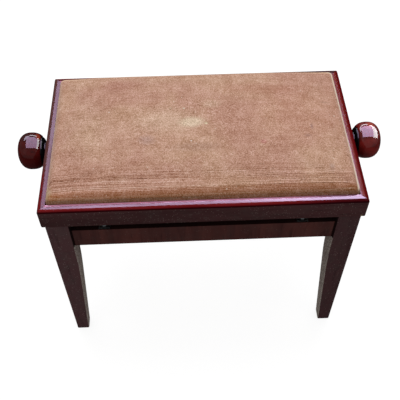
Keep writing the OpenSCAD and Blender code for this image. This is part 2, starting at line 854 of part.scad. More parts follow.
// Collar: a short neck beside the frame, then a convex flare up to the wood
module knob_collar() {
    bore_r = spindle_d / 2 + fit;
    neck_r = collar_neck_d / 2;
    neck_l = collar_l * collar_neck_l_share;
    flare = collar_wood_d / 2 - neck_r - collar_step;
    difference() {
        translate([0, 0, -collar_l])
            rotate_extrude()
                polygon(concat(
                    [[bore_r, collar_l], [bore_r, 0], [neck_r, 0], [neck_r, neck_l]],
                    arc([neck_r + collar_step, collar_l], flare, collar_l - neck_l, -90, 0)
                ));
        knob_grub_place() cylinder(d = grub_d + 2 * fit, h = collar_wood_d);
    }
}

// The grub screw of a knob points down from the spindle, through the middle of the collar
module knob_grub_place()
    translate([0, 0, -collar_l / 2]) rotate([0, -90, 0]) children();

module left_knob_collar() color(BLACK) left_knob_place() knob_collar();
module right_knob_collar() color(BLACK) mirror([1, 0, 0]) left_knob_place() knob_collar();

// Thrust collars hold the spindle on both sides of the fixed cross bar
module thrust_places()
    on_spindle()
        for (side = [-1, 1])
            translate([fixed_x + side * (bar_w / 2 + thrust_play + thrust_l / 2), 0, 0]) children();

module thrust_collars()
    color(DARK_STEEL)
        thrust_places()
            difference() {
                x_rod(thrust_d, -thrust_l / 2, thrust_l / 2);
                x_rod(spindle_d + 2 * fit, -thrust_l, thrust_l);
                cylinder(d = grub_d + 2 * fit, h = thrust_d);
            }

module grub_screw(outer_r)
    translate([0, 0, spindle_d / 2 + fit])
        cylinder(d = grub_d, h = outer_r - spindle_d / 2 - fit - grub_sink);

module grub_screws()
    color(STEEL) {
        thrust_places() grub_screw(thrust_d / 2);
        for (right = [false, true])
            at_corner(right, false)
                left_knob_place() knob_grub_place() grub_screw(collar_neck_d / 2);
    }

front_left_leg();
front_right_leg();
back_left_leg();
back_right_leg();
front_apron();
back_apron();
left_apron();
right_apron();
corner_blocks();
hanger_bolts();
bolt_washers();
leg_nuts();
foot_glides();
lower_front_rail();
lower_back_rail();
lower_rail_screws();
lower_pivot_rod();
outer_arm_front();
outer_arm_back();
centre_pivot_rod();
centre_pivot_clips();
inner_arm_front();
inner_arm_back();
lower_slide_rod();
slide_rollers();
nut_bar();
nut_bar_spacers();
nut_bar_clips();
seat_front_rail();
seat_back_rail();
seat_left_rail();
seat_right_rail();
seat_corner_blocks();
corner_block_screws();
seat_board();
foam_pad();
seat_cover();
upper_front_rail();
upper_back_rail();
upper_rail_screws();
fixed_cross_bar();
fixed_bar_clips();
left_escutcheon();
right_escutcheon();
spindle();
left_knob();
right_knob();
left_knob_collar();
right_knob_collar();
thrust_collars();
grub_screws();
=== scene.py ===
"""Dresses the piano stool: cord cushion, mitred lacquered frame, turned knobs, tapered legs, steel lift."""
import json
import math

import bmesh
import bpy
import numpy as np
from bpy.props import FloatProperty, FloatVectorProperty, IntProperty, PointerProperty
from bpy.types import Operator, Panel, PropertyGroup
from mathutils import Matrix, Vector


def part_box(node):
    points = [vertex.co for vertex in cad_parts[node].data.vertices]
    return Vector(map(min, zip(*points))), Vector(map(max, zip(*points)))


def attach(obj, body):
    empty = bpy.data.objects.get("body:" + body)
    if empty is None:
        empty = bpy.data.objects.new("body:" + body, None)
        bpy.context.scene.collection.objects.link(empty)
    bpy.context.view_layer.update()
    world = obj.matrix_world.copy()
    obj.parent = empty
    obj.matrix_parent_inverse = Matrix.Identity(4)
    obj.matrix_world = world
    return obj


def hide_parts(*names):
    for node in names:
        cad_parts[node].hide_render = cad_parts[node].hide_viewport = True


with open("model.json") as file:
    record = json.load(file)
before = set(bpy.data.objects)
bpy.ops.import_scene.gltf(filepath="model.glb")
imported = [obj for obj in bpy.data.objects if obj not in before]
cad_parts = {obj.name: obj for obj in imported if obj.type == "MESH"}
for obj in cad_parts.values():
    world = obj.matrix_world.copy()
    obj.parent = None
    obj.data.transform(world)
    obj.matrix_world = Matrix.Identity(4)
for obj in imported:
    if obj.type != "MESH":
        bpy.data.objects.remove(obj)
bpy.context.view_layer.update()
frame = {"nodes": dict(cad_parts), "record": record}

bl_info = {
    "name": "Piano Stool Finish",
    "version": (1, 0, 0),
    "blender": (4, 5, 0),
    "location": "View3D > Sidebar > Piano Stool",
    "description": "Makes the cushion, frame, knobs, legs and lift of a piano stool and their finishes",
    "category": "Object",
}

MM = 0.001

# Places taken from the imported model, in metres
FRAME_LOW, FRAME_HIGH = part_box("seat_front_rail")
COVER_LOW, COVER_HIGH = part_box("seat_cover")
BOARD_LOW, BOARD_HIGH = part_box("seat_board")
SPINDLE_LOW, SPINDLE_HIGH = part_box("spindle")
SPINDLE_Z = (SPINDLE_LOW.z + SPINDLE_HIGH.z) / 2
HALF_WIDTH = FRAME_HIGH.x
HALF_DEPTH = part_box("seat_left_rail")[1].y
APRON_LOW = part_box("front_apron")[0].z

LEG_WIDTH = 41 * MM
KNOB_BORE = 6.08 * MM
MITRE_GAP = 0.06 * MM
ALONG_X, ALONG_Y, ALONG_Z = (0.10, 1.0, 1.0), (1.0, 0.10, 1.0), (1.0, 1.0, 0.10)
# painted shade: this near black is laid where shade falls on the aprons' tops and between the aprons and the legs
PAINTED_SHADE = (0.008, 0.003, 0.003)
WHITE = (1.0, 1.0, 1.0, 1.0)


# ---- mesh helpers ----

def grid_faces(rows, cols, wrap_cols=False):
    """Quads of a grid of points kept row by row. With wrap_cols the last column joins the first."""
    r, c = np.meshgrid(np.arange(rows - 1), np.arange(cols if wrap_cols else cols - 1), indexing="ij")
    r2, c2 = r + 1, (c + 1) % cols
    return np.stack([r * cols + c, r * cols + c2, r2 * cols + c2, r2 * cols + c], -1).reshape(-1, 4)


def tube_faces(rows, cols):
    """Quads of a tube of rings, and the two faces that close its ends."""
    return grid_faces(rows, cols, wrap_cols=True).tolist() + [
        list(range(cols)), list(range((rows - 1) * cols, rows * cols))[::-1]]


def make_piece(name, points, faces, sharp=None, merge=True):
    """Makes an object from points in metres, merges doubles and turns its faces outwards.

    Faces that meet at more than `sharp` degrees keep a crisp edge."""
    mesh = bpy.data.meshes.new(name)
    mesh.from_pydata(np.asarray(points, float).reshape(-1, 3).tolist(), [], [list(map(int, f)) for f in faces])
    shaped = bmesh.new()
    shaped.from_mesh(mesh)
    if merge:
        bmesh.ops.remove_doubles(shaped, verts=shaped.verts, dist=1e-6)
    bmesh.ops.recalc_face_normals(shaped, faces=shaped.faces)
    shaped.to_mesh(mesh)
    shaped.free()
    mesh.shade_smooth()
    if sharp is not None:
        mesh.set_sharp_from_angle(angle=math.radians(sharp))
    piece = bpy.data.objects.new(name, mesh)
    bpy.context.scene.collection.objects.link(piece)
    return piece


def dress(piece, finish):
    """Gives a piece, new or packed, one material."""
    piece.data.materials.clear()
    piece.data.materials.append(finish.material)


def vectors(mesh, what):
    """A value of all the mesh's points, such as their places, as rows of three."""
    values = np.empty(len(mesh.vertices) * 3)
    mesh.vertices.foreach_get(what, values)
    return values.reshape(-1, 3)


def run_lengths(line):
    """The length of a line of points up to each of them."""
    return np.concatenate([[0], np.cumsum(np.linalg.norm(np.diff(line, axis=0), axis=1))])


def arc(cx, cy, radius, start, end, steps):
    """Points of an arc: the centre plus radius times (cos a, sin a), a in degrees from start to end."""
    a = np.radians(np.linspace(start, end, steps + 1))
    return np.stack([cx + radius * np.cos(a), cy + radius * np.sin(a)], -1)


def full_turn(steps):
    """Angles all the way round, the last one a step short of the first."""
    return np.linspace(0, 2 * math.pi, steps, endpoint=False)


def around(x, radius, steps):
    """Points about the spindle's axis: x, radius times cos a, the axis's height plus radius times sin a."""
    a = full_turn(steps)
    x = np.repeat(x[:, None], steps, 1)
    return np.stack([x, radius * np.cos(a), SPINDLE_Z + radius * np.sin(a)], -1).reshape(-1, 3)


def turned(profile, steps, mirrored):
    """Points and faces of a profile of (place along X, radius) turned round the spindle's axis."""
    points = around(profile[:, 0] * (-1 if mirrored else 1), profile[:, 1:], steps)
    return points, grid_faces(len(profile), steps, wrap_cols=True)


# ---- material helpers ----

def scaled(values, by):
    """A colour made darker or lighter, or a place in other units."""
    return tuple(value * by for value in values)


def within(edge, first, second):
    """Two places, given in mm inwards or down from an edge."""
    return edge - first * MM, edge - second * MM


class Nodes:
    """A node tree, with a short call for each kind of node that the stool uses."""

    def __init__(self, tree):
        self.tree = tree

    def add(self, kind, links=None, **settings):
        """Adds a shader node. links gives its inputs, by name or number, as values or other nodes' outputs."""
        made = self.tree.nodes.new("ShaderNode" + kind)
        for key, value in settings.items():
            setattr(made, key, value)
        self.feed(made, links or {})
        return made

    def feed(self, node, links):
        """Gives a node's inputs values or other nodes' outputs."""
        for key, value in links.items():
            if isinstance(value, bpy.types.NodeSocket):
                self.tree.links.new(value, node.inputs[key])
            else:
                node.inputs[key].default_value = value

    def calc(self, operation, a, b=0.0, c=0.0):
        return self.add("Math", {0: a, 1: b, 2: c}, operation=operation).outputs[0]

    def times(self, value, *others):
        """The product of all the values."""
        for other in others:
            value = self.calc("MULTIPLY", value, other)
        return value

    def line(self, value, slope, start):
        """Slope times the value, plus start."""
        return self.calc("MULTIPLY_ADD", value, slope, start)

    def step(self, value, low, high, out_low=0.0, out_high=1.0):
        """Carries a value from out_low at `low` to out_high at `high`, smoothly, and holds it beyond."""
        return self.add("MapRange", {"Value": value, "From Min": low, "From Max": high, "To Min": out_low,
                                     "To Max": out_high}, interpolation_type="SMOOTHSTEP").outputs["Result"]

    def mix(self, under, over, mask):
        """The colour `under` where the mask is 0 and `over` where it is 1. Each may be another node's output."""
        under, over = (c if isinstance(c, bpy.types.NodeSocket) else (*c, 1.0) for c in (under, over))
        return self.add("Mix", {0: mask, 6: under, 7: over}, data_type="RGBA").outputs[2]

    def split(self, vector):
        return self.add("SeparateXYZ", {0: vector}).outputs

    def places(self, stretch=(1.0, 1.0, 1.0)):
        """Object coordinates, which are metres in the stool's own frame, scaled by stretch."""
        return self.add("Mapping", {"Vector": self.add("TexCoord").outputs["Object"], "Scale": stretch}).outputs[0]

    def noise(self, scale, detail=3.0, roughness=0.55, distortion=0.0, at=None):
        return self.add("TexNoise", {"Vector": self.at if at is None else at, "Scale": scale, "Detail": detail,
                                     "Roughness": roughness, "Distortion": distortion}).outputs["Fac"]


def cleared(owner):
    """The emptied node tree of a material or world."""
    owner.use_nodes = True
    owner.node_tree.nodes.clear()
    return Nodes(owner.node_tree)


class Finish(Nodes):
    """A node material in the making. The values go straight on the shader's own sockets.

    at is the place in the stool's frame, x, y and z are its parts, and colour is the colour so far."""

    def __init__(self, name, **values):
        self.material = bpy.data.materials.new(name)
        self.material.use_nodes = True
        super().__init__(self.material.node_tree)
        self.shader = self.tree.nodes["Principled BSDF"]
        self.feed(self.shader, {key.replace("_", " "): value for key, value in values.items()})
        self.at = self.places()
        self.x, self.y, self.z = self.split(self.at)
        self.colour = None

    def facing(self):
        """The parts of the surface's direction."""
        return self.split(self.add("TexCoord").outputs["Normal"])

    def lay(self, tone, mask, much=None):
        """Lays a tone over the colour where the mask is 1, at a share of its strength."""
        self.colour = self.mix(self.colour, tone, mask if much is None else self.times(mask, much))

    def specks(self, scale, radius, share):
        """Round specks scattered over the surface: cells of which only a share holds a speck of that radius."""
        cell = self.add("TexVoronoi", {"Vector": self.at, "Scale": scale, "Randomness": 1.0})
        apart = self.add("SeparateColor", {0: cell.outputs["Color"]})
        chosen = self.calc("LESS_THAN", apart.outputs[0], share)
        size = self.line(apart.outputs[1], radius * scale, 0.25 * radius * scale)
        return self.times(chosen, self.calc("LESS_THAN", cell.outputs["Distance"], size))

    def spot(self, centre, size, soft):
        """1 inside an ellipsoid about a centre, falling softly to 0 outside it, with a ragged rim."""
        moved = self.add("VectorMath", {0: self.at, 1: centre}, operation="SUBTRACT").outputs[0]
        shrunk = self.add("VectorMath", {0: moved, 1: size}, operation="DIVIDE").outputs[0]
        far = self.add("VectorMath", {0: shrunk}, operation="LENGTH").outputs["Value"]
        ragged = self.line(self.noise(0.9 / max(size[0], size[1]), 4.0, 0.6), 0.7, -0.35)
        return self.step(self.calc("ADD", far, ragged), 1.0, 1.0 - soft)

    def bump(self, height, distance, strength, under=None):
        """A normal that follows a height, over another bump if one is given."""
        links = {"Height": height, "Distance": distance, "Strength": strength}
        return self.add("Bump", links if under is None else {**links, "Normal": under}).outputs["Normal"]

    def wire(self, **more):
        """Joins the colour and any other outputs to the shader."""
        self.feed(self.shader, {"Base Color": self.colour, **more})
        return self


# ---- finishes ----

def lacquer(name, dark, red, streak, roughness, dust=0.0, top=None, gloss=0.0, marks=()):
    """Lacquered mahogany: streaks of two browns along the grain, pores, dust specks and a little orange peel.

    streak is the stretch of the grain's pattern, small along the grain. top describes a moulding whose top is painted
    with light: the heights between which its painted red edge begins over the dark face, the heights over which that
    edge brightens from a foot of painted shade, the edge's three colours, the heights between which its flat begins,
    the flat's gloss, a function for the share of it that shines and one that tints it. marks are chips and painted
    glows as (centre, size, colour, strength)."""
    coat = Finish(name, Roughness=roughness, Coat_Weight=gloss, Coat_Roughness=0.05, Coat_IOR=1.45,
                  Specular_IOR_Level=0.0)
    along = coat.places(streak)
    grain = coat.step(coat.noise(26.0, 4.0, 0.6, 0.4, at=along), 0.35, 0.68)
    fine = coat.noise(140.0, 3.0, 0.6, at=along)
    coat.colour = coat.mix(dark, red, grain)
    coat.lay(scaled(dark, 0.55), coat.step(fine, 0.52, 0.72, 0.0, 0.55))
    if dust:
        coat.lay((0.090, 0.080, 0.072), coat.step(coat.noise(38.0, 5.0, 0.7), 0.40, 0.75, 0.0, dust))
        coat.lay((0.30, 0.23, 0.21), coat.specks(330.0, 1 * MM, min(0.8, 5.0 * dust * dust)), min(0.8, dust * 1.6))
    if top:
        wander = coat.step(coat.noise(60.0, 2.0, at=along), 0.3, 0.7, -0.4 * MM, 0.4 * MM)
        wavy = coat.calc("ADD", coat.z, wander)
        # painted light: above the edge the top is laid red for the light that passes through the lacquer, over the dark
        # face colour, and darkens to painted shade at the rounding's foot
        low, high, shaded_foot = top["colours"]
        shine = coat.mix(coat.mix(low, high, grain), scaled(low, 0.6), coat.step(fine, 0.55, 0.75, 0.0, 0.35))
        shine = coat.mix(shaded_foot, shine, coat.step(wavy, *top["shaded_foot"]))
        flat = coat.step(coat.z, *top["flat"])
        coat.lay(top["tint"](coat, shine, flat), coat.step(wavy, *top["edge"]))
        # the mitre: where a point lies as far in from the stool's side as from its front or back
        from_side, from_front = (coat.calc("SUBTRACT", half, coat.calc("ABSOLUTE", place))
                                 for half, place in ((HALF_WIDTH, coat.x), (HALF_DEPTH, coat.y)))
        seam = coat.calc("ABSOLUTE", coat.calc("SUBTRACT", from_side, from_front))
        whole = coat.step(seam, 0.2 * MM, 0.8 * MM, 0.35, 1.0)
        coat.colour = coat.mix((0.030, 0.004, 0.005), coat.colour, whole)
        smear = coat.step(coat.noise(34.0, at=along), 0.32, 0.60, 0.50, 1.12)
        clear = coat.times(flat, smear, top["share"](coat), whole)
        coat.feed(coat.shader, {"Coat Weight": coat.line(clear, top["gloss"], gloss)})
    for centre, size, tone, much in marks:
        coat.lay(tone, coat.spot(centre, size, 0.5), much)
    peel = coat.bump(coat.noise(240.0, 2.0), 0.05 * MM, 0.35)
    return coat.wire(Normal=coat.bump(fine, 0.06 * MM, 0.5, peel), Roughness=coat.step(
        coat.noise(60.0, 4.0, 0.65), 0.3, 0.75, roughness * 0.75, roughness * 1.35 + dust * 0.2))


def shade_apron(coat, corner_x, corner_y):
    """Lays painted shade on an apron's top, which stays under the seat, and a painted shadow line where it meets a leg.
    """
    x, y = coat.calc("ABSOLUTE", coat.x), coat.calc("ABSOLUTE", coat.y)
    # painted shadow: a dark line on the apron beside each leg
    ends = [coat.times(coat.step(run, *within(corner, 2.8, 1.6)), coat.step(other, *within(beyond, -3, -5)))
            for run, corner, other, beyond in ((x, corner_x, y, corner_y), (y, corner_y, x, corner_x))]
    shade_mask = coat.calc("MAXIMUM", coat.calc("MAXIMUM", *ends), coat.step(coat.facing()[2], 0.6, 0.9))
    coat.lay(PAINTED_SHADE, shade_mask, 0.88)
    coat.wire()


def dusty_side(coat, low, high):
    """Lays grey dust, grit and pits on a leg's faces that look towards the middle along X, thicker further down; the
    dust is laid pale enough to stand in for the light these faces reflect as well.
    Above the apron's foot the eased edge beside it carries painted shade instead. The right legs are darker than the
    left."""
    inward = coat.step(coat.times(coat.facing()[0], coat.calc("SIGN", coat.x)), -0.25, -0.65)
    # painted shade: above the apron's foot, the eased edge that faces the middle is laid near black
    beside = coat.times(inward, coat.step(coat.z, *within(APRON_LOW, 0.5, -0.5)))
    inward = coat.calc("SUBTRACT", inward, beside)
    cover = coat.step(coat.noise(300.0, 4.0, 0.75), 0.34, 0.60, 0.12, 1.0)
    coat.lay((0.020, 0.008, 0.008), coat.step(coat.x, -0.1, 0.2, 0.0, 0.28))
    # dust and painted light: the grey is pale enough to stand in for the reflected light too
    coat.lay((0.560, 0.492, 0.430), coat.times(inward, cover, coat.step(coat.z, high, low, 0.75, 0.95)))
    for tone, scale, share, much in (((0.80, 0.74, 0.65), 330.0, 0.45, 0.8), ((0.060, 0.042, 0.036), 290.0, 0.30, 0.7)):
        coat.lay(tone, coat.times(coat.specks(scale, 1 * MM, share), inward), much)
    coat.lay(PAINTED_SHADE, beside, 0.9)
    coat.wire()


def steel(name, colour, roughness, rust):
    """Zinc-plated steel: dull patches, drawn scratches along X, and a little brown bloom."""
    metal = Finish(name, Metallic=1.0)
    drawn = metal.noise(900.0, 2.0, at=metal.places((0.06, 1.0, 1.0)))
    patches = metal.noise(55.0, 4.0, 0.65)
    metal.colour = metal.mix(scaled(colour, 0.72), colour, metal.step(patches, 0.35, 0.7))
    metal.lay(scaled(colour, 1.2), metal.step(drawn, 0.35, 0.65, 0.0, 0.25))
    metal.lay((0.16, 0.075, 0.035), metal.step(metal.noise(22.0, 6.0, 0.75), 0.55, 0.78, 0.0, rust))
    return metal.wire(Roughness=metal.step(patches, 0.3, 0.75, roughness * 0.75, roughness * 1.4),
                      Normal=metal.bump(drawn, 0.03 * MM, 0.5))


def raw_wood(name, pale, brown, streak):
    """Planed wood without a finish: growth bands, pores and a little dirt."""
    wood, roughness = Finish(name, Specular_IOR_Level=0.2), 0.62
    along = wood.places(streak)
    pores = wood.noise(620.0, 2.0, 0.7, at=along)
    wood.colour = wood.mix(pale, brown, wood.step(wood.noise(70.0, 4.0, 0.6, 1.2, at=along), 0.32, 0.68))
    wood.lay(scaled(brown, 0.5), wood.step(pores, 0.56, 0.74, 0.0, 0.5))
    wood.lay(scaled(brown, 0.6), wood.step(wood.noise(14.0, 4.0), 0.45, 0.75, 0.0, 0.35))
    return wood.wire(Roughness=wood.step(pores, 0.3, 0.7, roughness * 0.9, roughness * 1.15),
                     Normal=wood.bump(pores, 0.1 * MM, 0.5))


def moulded(name, colour, roughness):
    """Moulded nylon: an even colour with a worn, dirty bloom and a fine grain."""
    nylon = Finish(name)
    nylon.colour = nylon.mix(colour, scaled(colour, 0.45), nylon.step(nylon.noise(90.0, 4.0, 0.6), 0.45, 0.8, 0.0, 0.2))
    grain = nylon.noise(1400.0, 2.0)
    return nylon.wire(Roughness=nylon.step(grain, 0.3, 0.7, roughness * 0.85, roughness * 1.2),
                      Normal=nylon.bump(grain, 0.04 * MM, 0.5))


def cord_cloth(settings):
    """Worn needlecord: wales along the cloth's own map, mottled pile, bald patches, lint and stains, with painted shade
    and highlights on the front roll and its foot.
    """
    cloth = Finish("cord_cloth", Roughness=0.95, Specular_IOR_Level=0.02, Sheen_Weight=0.22, Sheen_Roughness=0.5,
                   Sheen_Tint=(1.0, 0.88, 0.74, 1.0))
    times, line, step, lay, spot = cloth.times, cloth.line, cloth.step, cloth.lay, cloth.spot
    x, y, own = cloth.x, cloth.y, cloth.add("UVMap", uv_map="cloth").outputs[0]
    pale, cream = tuple(settings.cloth_worn), (1.0, 0.84, 0.66)
    crown_z, through, ragged = 0.46, 0.1, 0.8
    # the dye has faded unevenly, from pinkish to greyish tan
    pinkish, greyish = (tuple(c * by for c, by in zip(settings.cloth, shift))
                        for shift in ((0.94, 0.91, 0.92), (1.01, 1.07, 1.02)))
    cloth.colour = cloth.mix(pinkish, greyish, step(cloth.noise(10.0, 4.0, 0.5, 0.3), 0.34, 0.66))
    # bald patches, stains and fluff on the top: place, half width and depth in mm, colour and strength
    for place, size, tone, much in (
        ((-60, 10), (90, 48), pale, 0.36),
        ((-15, 4), (34, 17), (0.780, 0.590, 0.430), 1.0),
        ((25, 50), (24, 16), pale, 0.35),
        ((-200, 0), (60, 90), pale, 0.20),
        ((180, 20), (120, 110), (0.560, 0.285, 0.195), 0.40),
        ((-95, -36), (22, 16), (0.43, 0.27, 0.24), 0.50),
        ((-10, -55), (70, 16), (0.42, 0.245, 0.185), 0.40),
        ((-150, 110), (70, 26), (0.47, 0.225, 0.165), 0.55),
        ((110, 90), (110, 24), (0.50, 0.235, 0.165), 0.45),
        ((110, -47), (9, 8), (0.56, 0.22, 0.20), 0.55),
        ((200, -11), (4, 10), (0.33, 0.18, 0.16), 0.65),
        ((190, -34), (10, 6), (0.36, 0.20, 0.16), 0.50),
        ((232, 53), (11, 3), (0.36, 0.20, 0.14), 0.55),
        ((222, -105), (7, 12), (0.36, 0.22, 0.17), 0.50),
        ((11, 0), (5.5, 3.5), (0.80, 0.68, 0.46), 0.85),
        ((-28, 40), (3, 1.8), (0.92, 0.86, 0.70), 1.0),
        ((-52, 41), (3, 1.6), (0.74, 0.62, 0.46), 0.8),
        ((-17, -41), (1.8, 1.8), (0.90, 0.84, 0.80), 1.0),
        ((-164, 37), (1.8, 1.8), (0.90, 0.82, 0.74), 1.0),
        ((246, 18), (1.6, 2.2), (0.90, 0.78, 0.66), 0.9),
    ):
        lay(tone, spot((*scaled(place, MM), crown_z), (*scaled(size, MM), through), ragged), much)
    # light and dark in four sizes of mottling: the sum of their departures from the mean
    mottle = line(cloth.noise(42.0, 4.0, 0.6), 0.62, -0.31)
    for scale, detail, much in ((150.0, 2.0, 0.30), (330.0, 1.0, 0.42), (600.0, 1.0, 1.45)):
        mottle = cloth.calc("ADD", mottle, line(cloth.noise(scale, detail), much, -much / 2))
    # nap brushed into streaks along the wales, strongest near the front
    brushed = cloth.add("Mapping", {"Vector": own, "Scale": (3.0, 420.0, 1.0)}).outputs[0]
    streaks = cloth.noise(1.0, 2.0, 0.5, at=brushed)
    front = times(step(y, -0.092, -0.118), step(y, -0.146, -0.138))
    front = line(front, 1.0, 0.25)
    mottle = cloth.calc("ADD", mottle, times(front, line(streaks, 1.30, -0.65)))
    # wales: a round rib between narrow valleys, worn flat where the pile has gone
    wavy = line(cloth.noise(22.0, 1.0, at=cloth.places((0.35, 1.0, 1.0))), 3 * MM, cloth.split(own)[1])
    rib = cloth.calc("ABSOLUTE", cloth.calc("SINE", times(wavy, math.pi / settings.wale)))
    # painted shade: the valleys between the ribs are darkened, most near the front
    valley_shade = step(rib, 0.62, 0.05)
    mottle = cloth.calc("SUBTRACT", mottle, times(valley_shade, line(front, 0.24, 0.02)))
    # the front roll is browner from its nap and from painted shade, and painted darker to the right as shade; painted
    # highlights run along its crest and a fold, over a lower side of painted shade
    rise = cloth.calc("SUBTRACT", cloth.z, FRAME_HIGH.z)
    roll = times(step(y, -0.1335, -0.1425), line(step(rise, 15 * MM, 11 * MM), 0.25, 0.68))
    lay(settings.cloth_shade, roll)
    to_left = step(x, 0.10, -0.06)
    # painted highlight: a pale line along the roll's crest, towards the left
    crest = times(step(y, -0.1325, -0.1345), step(y, -0.1375, -0.1360))
    lay(pale, times(crest, streaks, to_left), 0.30)
    near = step(y, -0.1420, -0.1450)
    # painted highlight: a light line along the fold over the cushion's lower side
    crease_highlight = times(step(rise, 12.2 * MM, 11.2 * MM), step(rise, 9.2 * MM, 10.2 * MM), near)
    lay((0.60, 0.38, 0.25), crease_highlight, 0.35)
    # painted shade: the cushion's lower side beside the frame, more to the left
    foot = times(near, step(rise, 10.5 * MM, 6.5 * MM), line(to_left, 0.22, 0.50))
    lay(settings.cloth_foot_shade, foot)
    # painted shadow: darker still just over the frame
    lay((0.080, 0.042, 0.030), times(near, step(rise, 2.6 * MM, 1.2 * MM)), 0.35)
    # painted shade: the roll is darkened more to the right
    shaded = times(roll, line(x, 0.55, 0.05))
    cloth.colour = cloth.add("HueSaturation", {
        "Color": cloth.colour, "Saturation": line(mottle, -0.55, 1.0),
        "Value": cloth.calc("SUBTRACT", cloth.calc("ADD", mottle, 1.0), shaded)}).outputs[0]
    # the light catches the nap on the right flank, the back and the corner between them, and the corner at the
    # front left is olive
    upper = step(rise, 5 * MM, 9 * MM, 0.1, 1.0)
    flank = times(step(cloth.calc("ABSOLUTE", x), 0.2592, 0.2626), upper)
    lay(cream, flank, step(x, -0.05, 0.05, 0.18, 1.0))
    lay((0.46, 0.34, 0.17), spot((-0.262, -0.135, 0.440), (0.014, 0.016, 0.02), 0.6), 0.45)
    lay((0.98, 0.68, 0.45), times(step(y, 0.1395, 0.1455), upper), 0.72)
    lay(cream, spot((0.262, 0.150, 0.446), (0.014, 0.010, 0.02), 0.6), 0.85)
    # lint
    lay((0.90, 0.76, 0.64), cloth.specks(85.0, 0.85 * MM, 0.40), 0.8)
    lay((0.84, 0.68, 0.55), cloth.specks(240.0, 0.75 * MM, 0.22), 0.5)
    pile = cloth.bump(cloth.noise(900.0, 2.0), 0.4 * MM, 0.45)
    return cloth.wire(Normal=cloth.bump(rib, 0.3 * MM, 0.45, pile))


def polish(piece):
    """Lets the cards over the stool shine on a piece. No other piece takes their light."""
    bpy.data.collections["polished"].objects.link(piece)


# ---- sizes and colours that a user would change ----

def number(name, description, default):
    return FloatProperty(name=name, description=description, default=default)


def length(name, description, default):
    return FloatProperty(name=name, description=description, default=default, unit="LENGTH")


def count(name, description, default):
    return IntProperty(name=name, description=description, default=default)


def tint(name, description, default):
    return FloatVectorProperty(name=name, description="Colour of " + description, default=default, subtype="COLOR")


def group(kind, name, description):
    return PointerProperty(type=kind, name=name, description=description)


class StoolCushionSettings(PropertyGroup):
    crown: length("Crown", "Height of the crown over the frame before it is blown up", 0.0230)
    shoulder: length("Shoulder", "Height of the shoulder over the frame before it is blown up", 0.0175)
    shoulder_in: length("Shoulder lean", "How far the shoulder leans in", 0.014)
    fuller: length("Fuller side", "How much fuller the left end is than the middle", 0.0012)
    drawn_in: length("Drawn in", "How far the sides draw in between the corners", 0.003)
    corner: length("Corner radius", "Radius of the corners, seen from above", 0.009)
    sag: number("Corner sag", "Share of the height that the corners lose", 0.36)
    sag_reach: length("Sag's reach", "How far the sag reaches from a corner", 0.032)
    corner_foot: length("Foot's corner", "Radius of the corners beside the frame", 0.004)
    hem: length("Hem", "Width of the hem under the board", 0.015)
    pressure: number("Pressure", "Pressure that swells the cushion", 4.0)
    frames: count("Frames", "Frames of the cloth simulation", 20)
    swell: length("Most swell", "How far a point may move", 0.005)
    wale: length("Wale", "Width of one wale of the cord cloth", 0.0030)
    cloth: tint("Cloth", "the cloth", (0.590, 0.333, 0.241))
    cloth_worn: tint("Worn cloth", "the cloth where the pile has gone", (0.730, 0.525, 0.385))
    # painted shade with the nap: the front roll's browner, darker colour
    cloth_shade: tint("Shaded cloth", "the nap on the front roll", (0.415, 0.166, 0.080))
    # painted shade: the cloth beside the frame, under the roll
    cloth_foot_shade: tint("Foot", "the soiled cloth beside the frame", (0.235, 0.142, 0.082))


class StoolWoodSettings(PropertyGroup):
    leg_dark: tint("Leg", "the legs", (0.106, 0.052, 0.056))
    leg_red: tint("Leg streaks", "the legs' streaks", (0.112, 0.052, 0.054))
    apron_dark: tint("Apron", "the aprons", (0.072, 0.028, 0.026))
    apron_red: tint("Apron streaks", "the aprons' streaks", (0.112, 0.038, 0.033))
    frame_dark: tint("Frame", "the seat frame", (0.062, 0.026, 0.027))
    # the frame's top and edge colours are painted light, the red of light passing through the lacquer; its foot colour
    # is painted shade where the rounding turns away
    frame_red: tint("Frame edge", "the frame's polished top where it is darker", (0.150, 0.006, 0.009))
    frame_shaded_foot: tint("Frame foot", "the foot of the frame's rounding", (0.028, 0.0006, 0.0020))
    frame_top: tint("Frame top", "the frame's polished top where it is lighter", (0.215, 0.016, 0.018))
    frame_gloss: number("Frame gloss", "Weight of the clear coat on the frame's top", 0.50)
    knob_gloss: number("Knob gloss", "Weight of the clear coat on the knobs", 0.29)
    knob_dark: tint("Knob", "the knobs", (0.040, 0.003, 0.003))
    knob_red: tint("Knob streaks", "the knobs' streaks", (0.095, 0.007, 0.006))


class StoolTurningSettings(PropertyGroup):
    power: number("Fullness", "Power of the superellipse of the knobs' outline", 2.45)
    crest: length("Crest", "Distance from a knob's outer end to its widest place", 0.025)
    nearer: length("Nearer", "How much nearer the frame the wood begins than its solid", 0.002)
    steps: count("Steps", "Steps round a turned piece", 96)
    lead: length("Thread lead", "Lead of the spindle's thread", 0.003)
    root: length("Thread root", "Diameter at the bottom of the thread", 0.0092)


class StoolStudioSettings(PropertyGroup):
    lens: number("Lens", "Focal length of the camera in millimetres", 59.013)
    ambient: number("Ambient", "Strength of the plain world light", 0.45)
    sky: number("Sky", "Radiance of the broad lamp above and behind", 1.9)
    fill: number("Fill", "Radiance of the two lamps in front", 0.6)
    cards: number("Cards", "Radiance of the cards that only polished pieces show", 32.0)
    floor: number("Floor", "Share of the light that the floor throws back", 0.28)


class StoolSettings(PropertyGroup):
    cushion: group(StoolCushionSettings, "Cushion", "The cushion's sizes and colours")
    wood: group(StoolWoodSettings, "Wood", "The lacquers' colours")
    turning: group(StoolTurningSettings, "Turning", "Turned pieces and the thread")
    studio: group(StoolStudioSettings, "Studio", "The camera and the light")


# ---- the stage ----

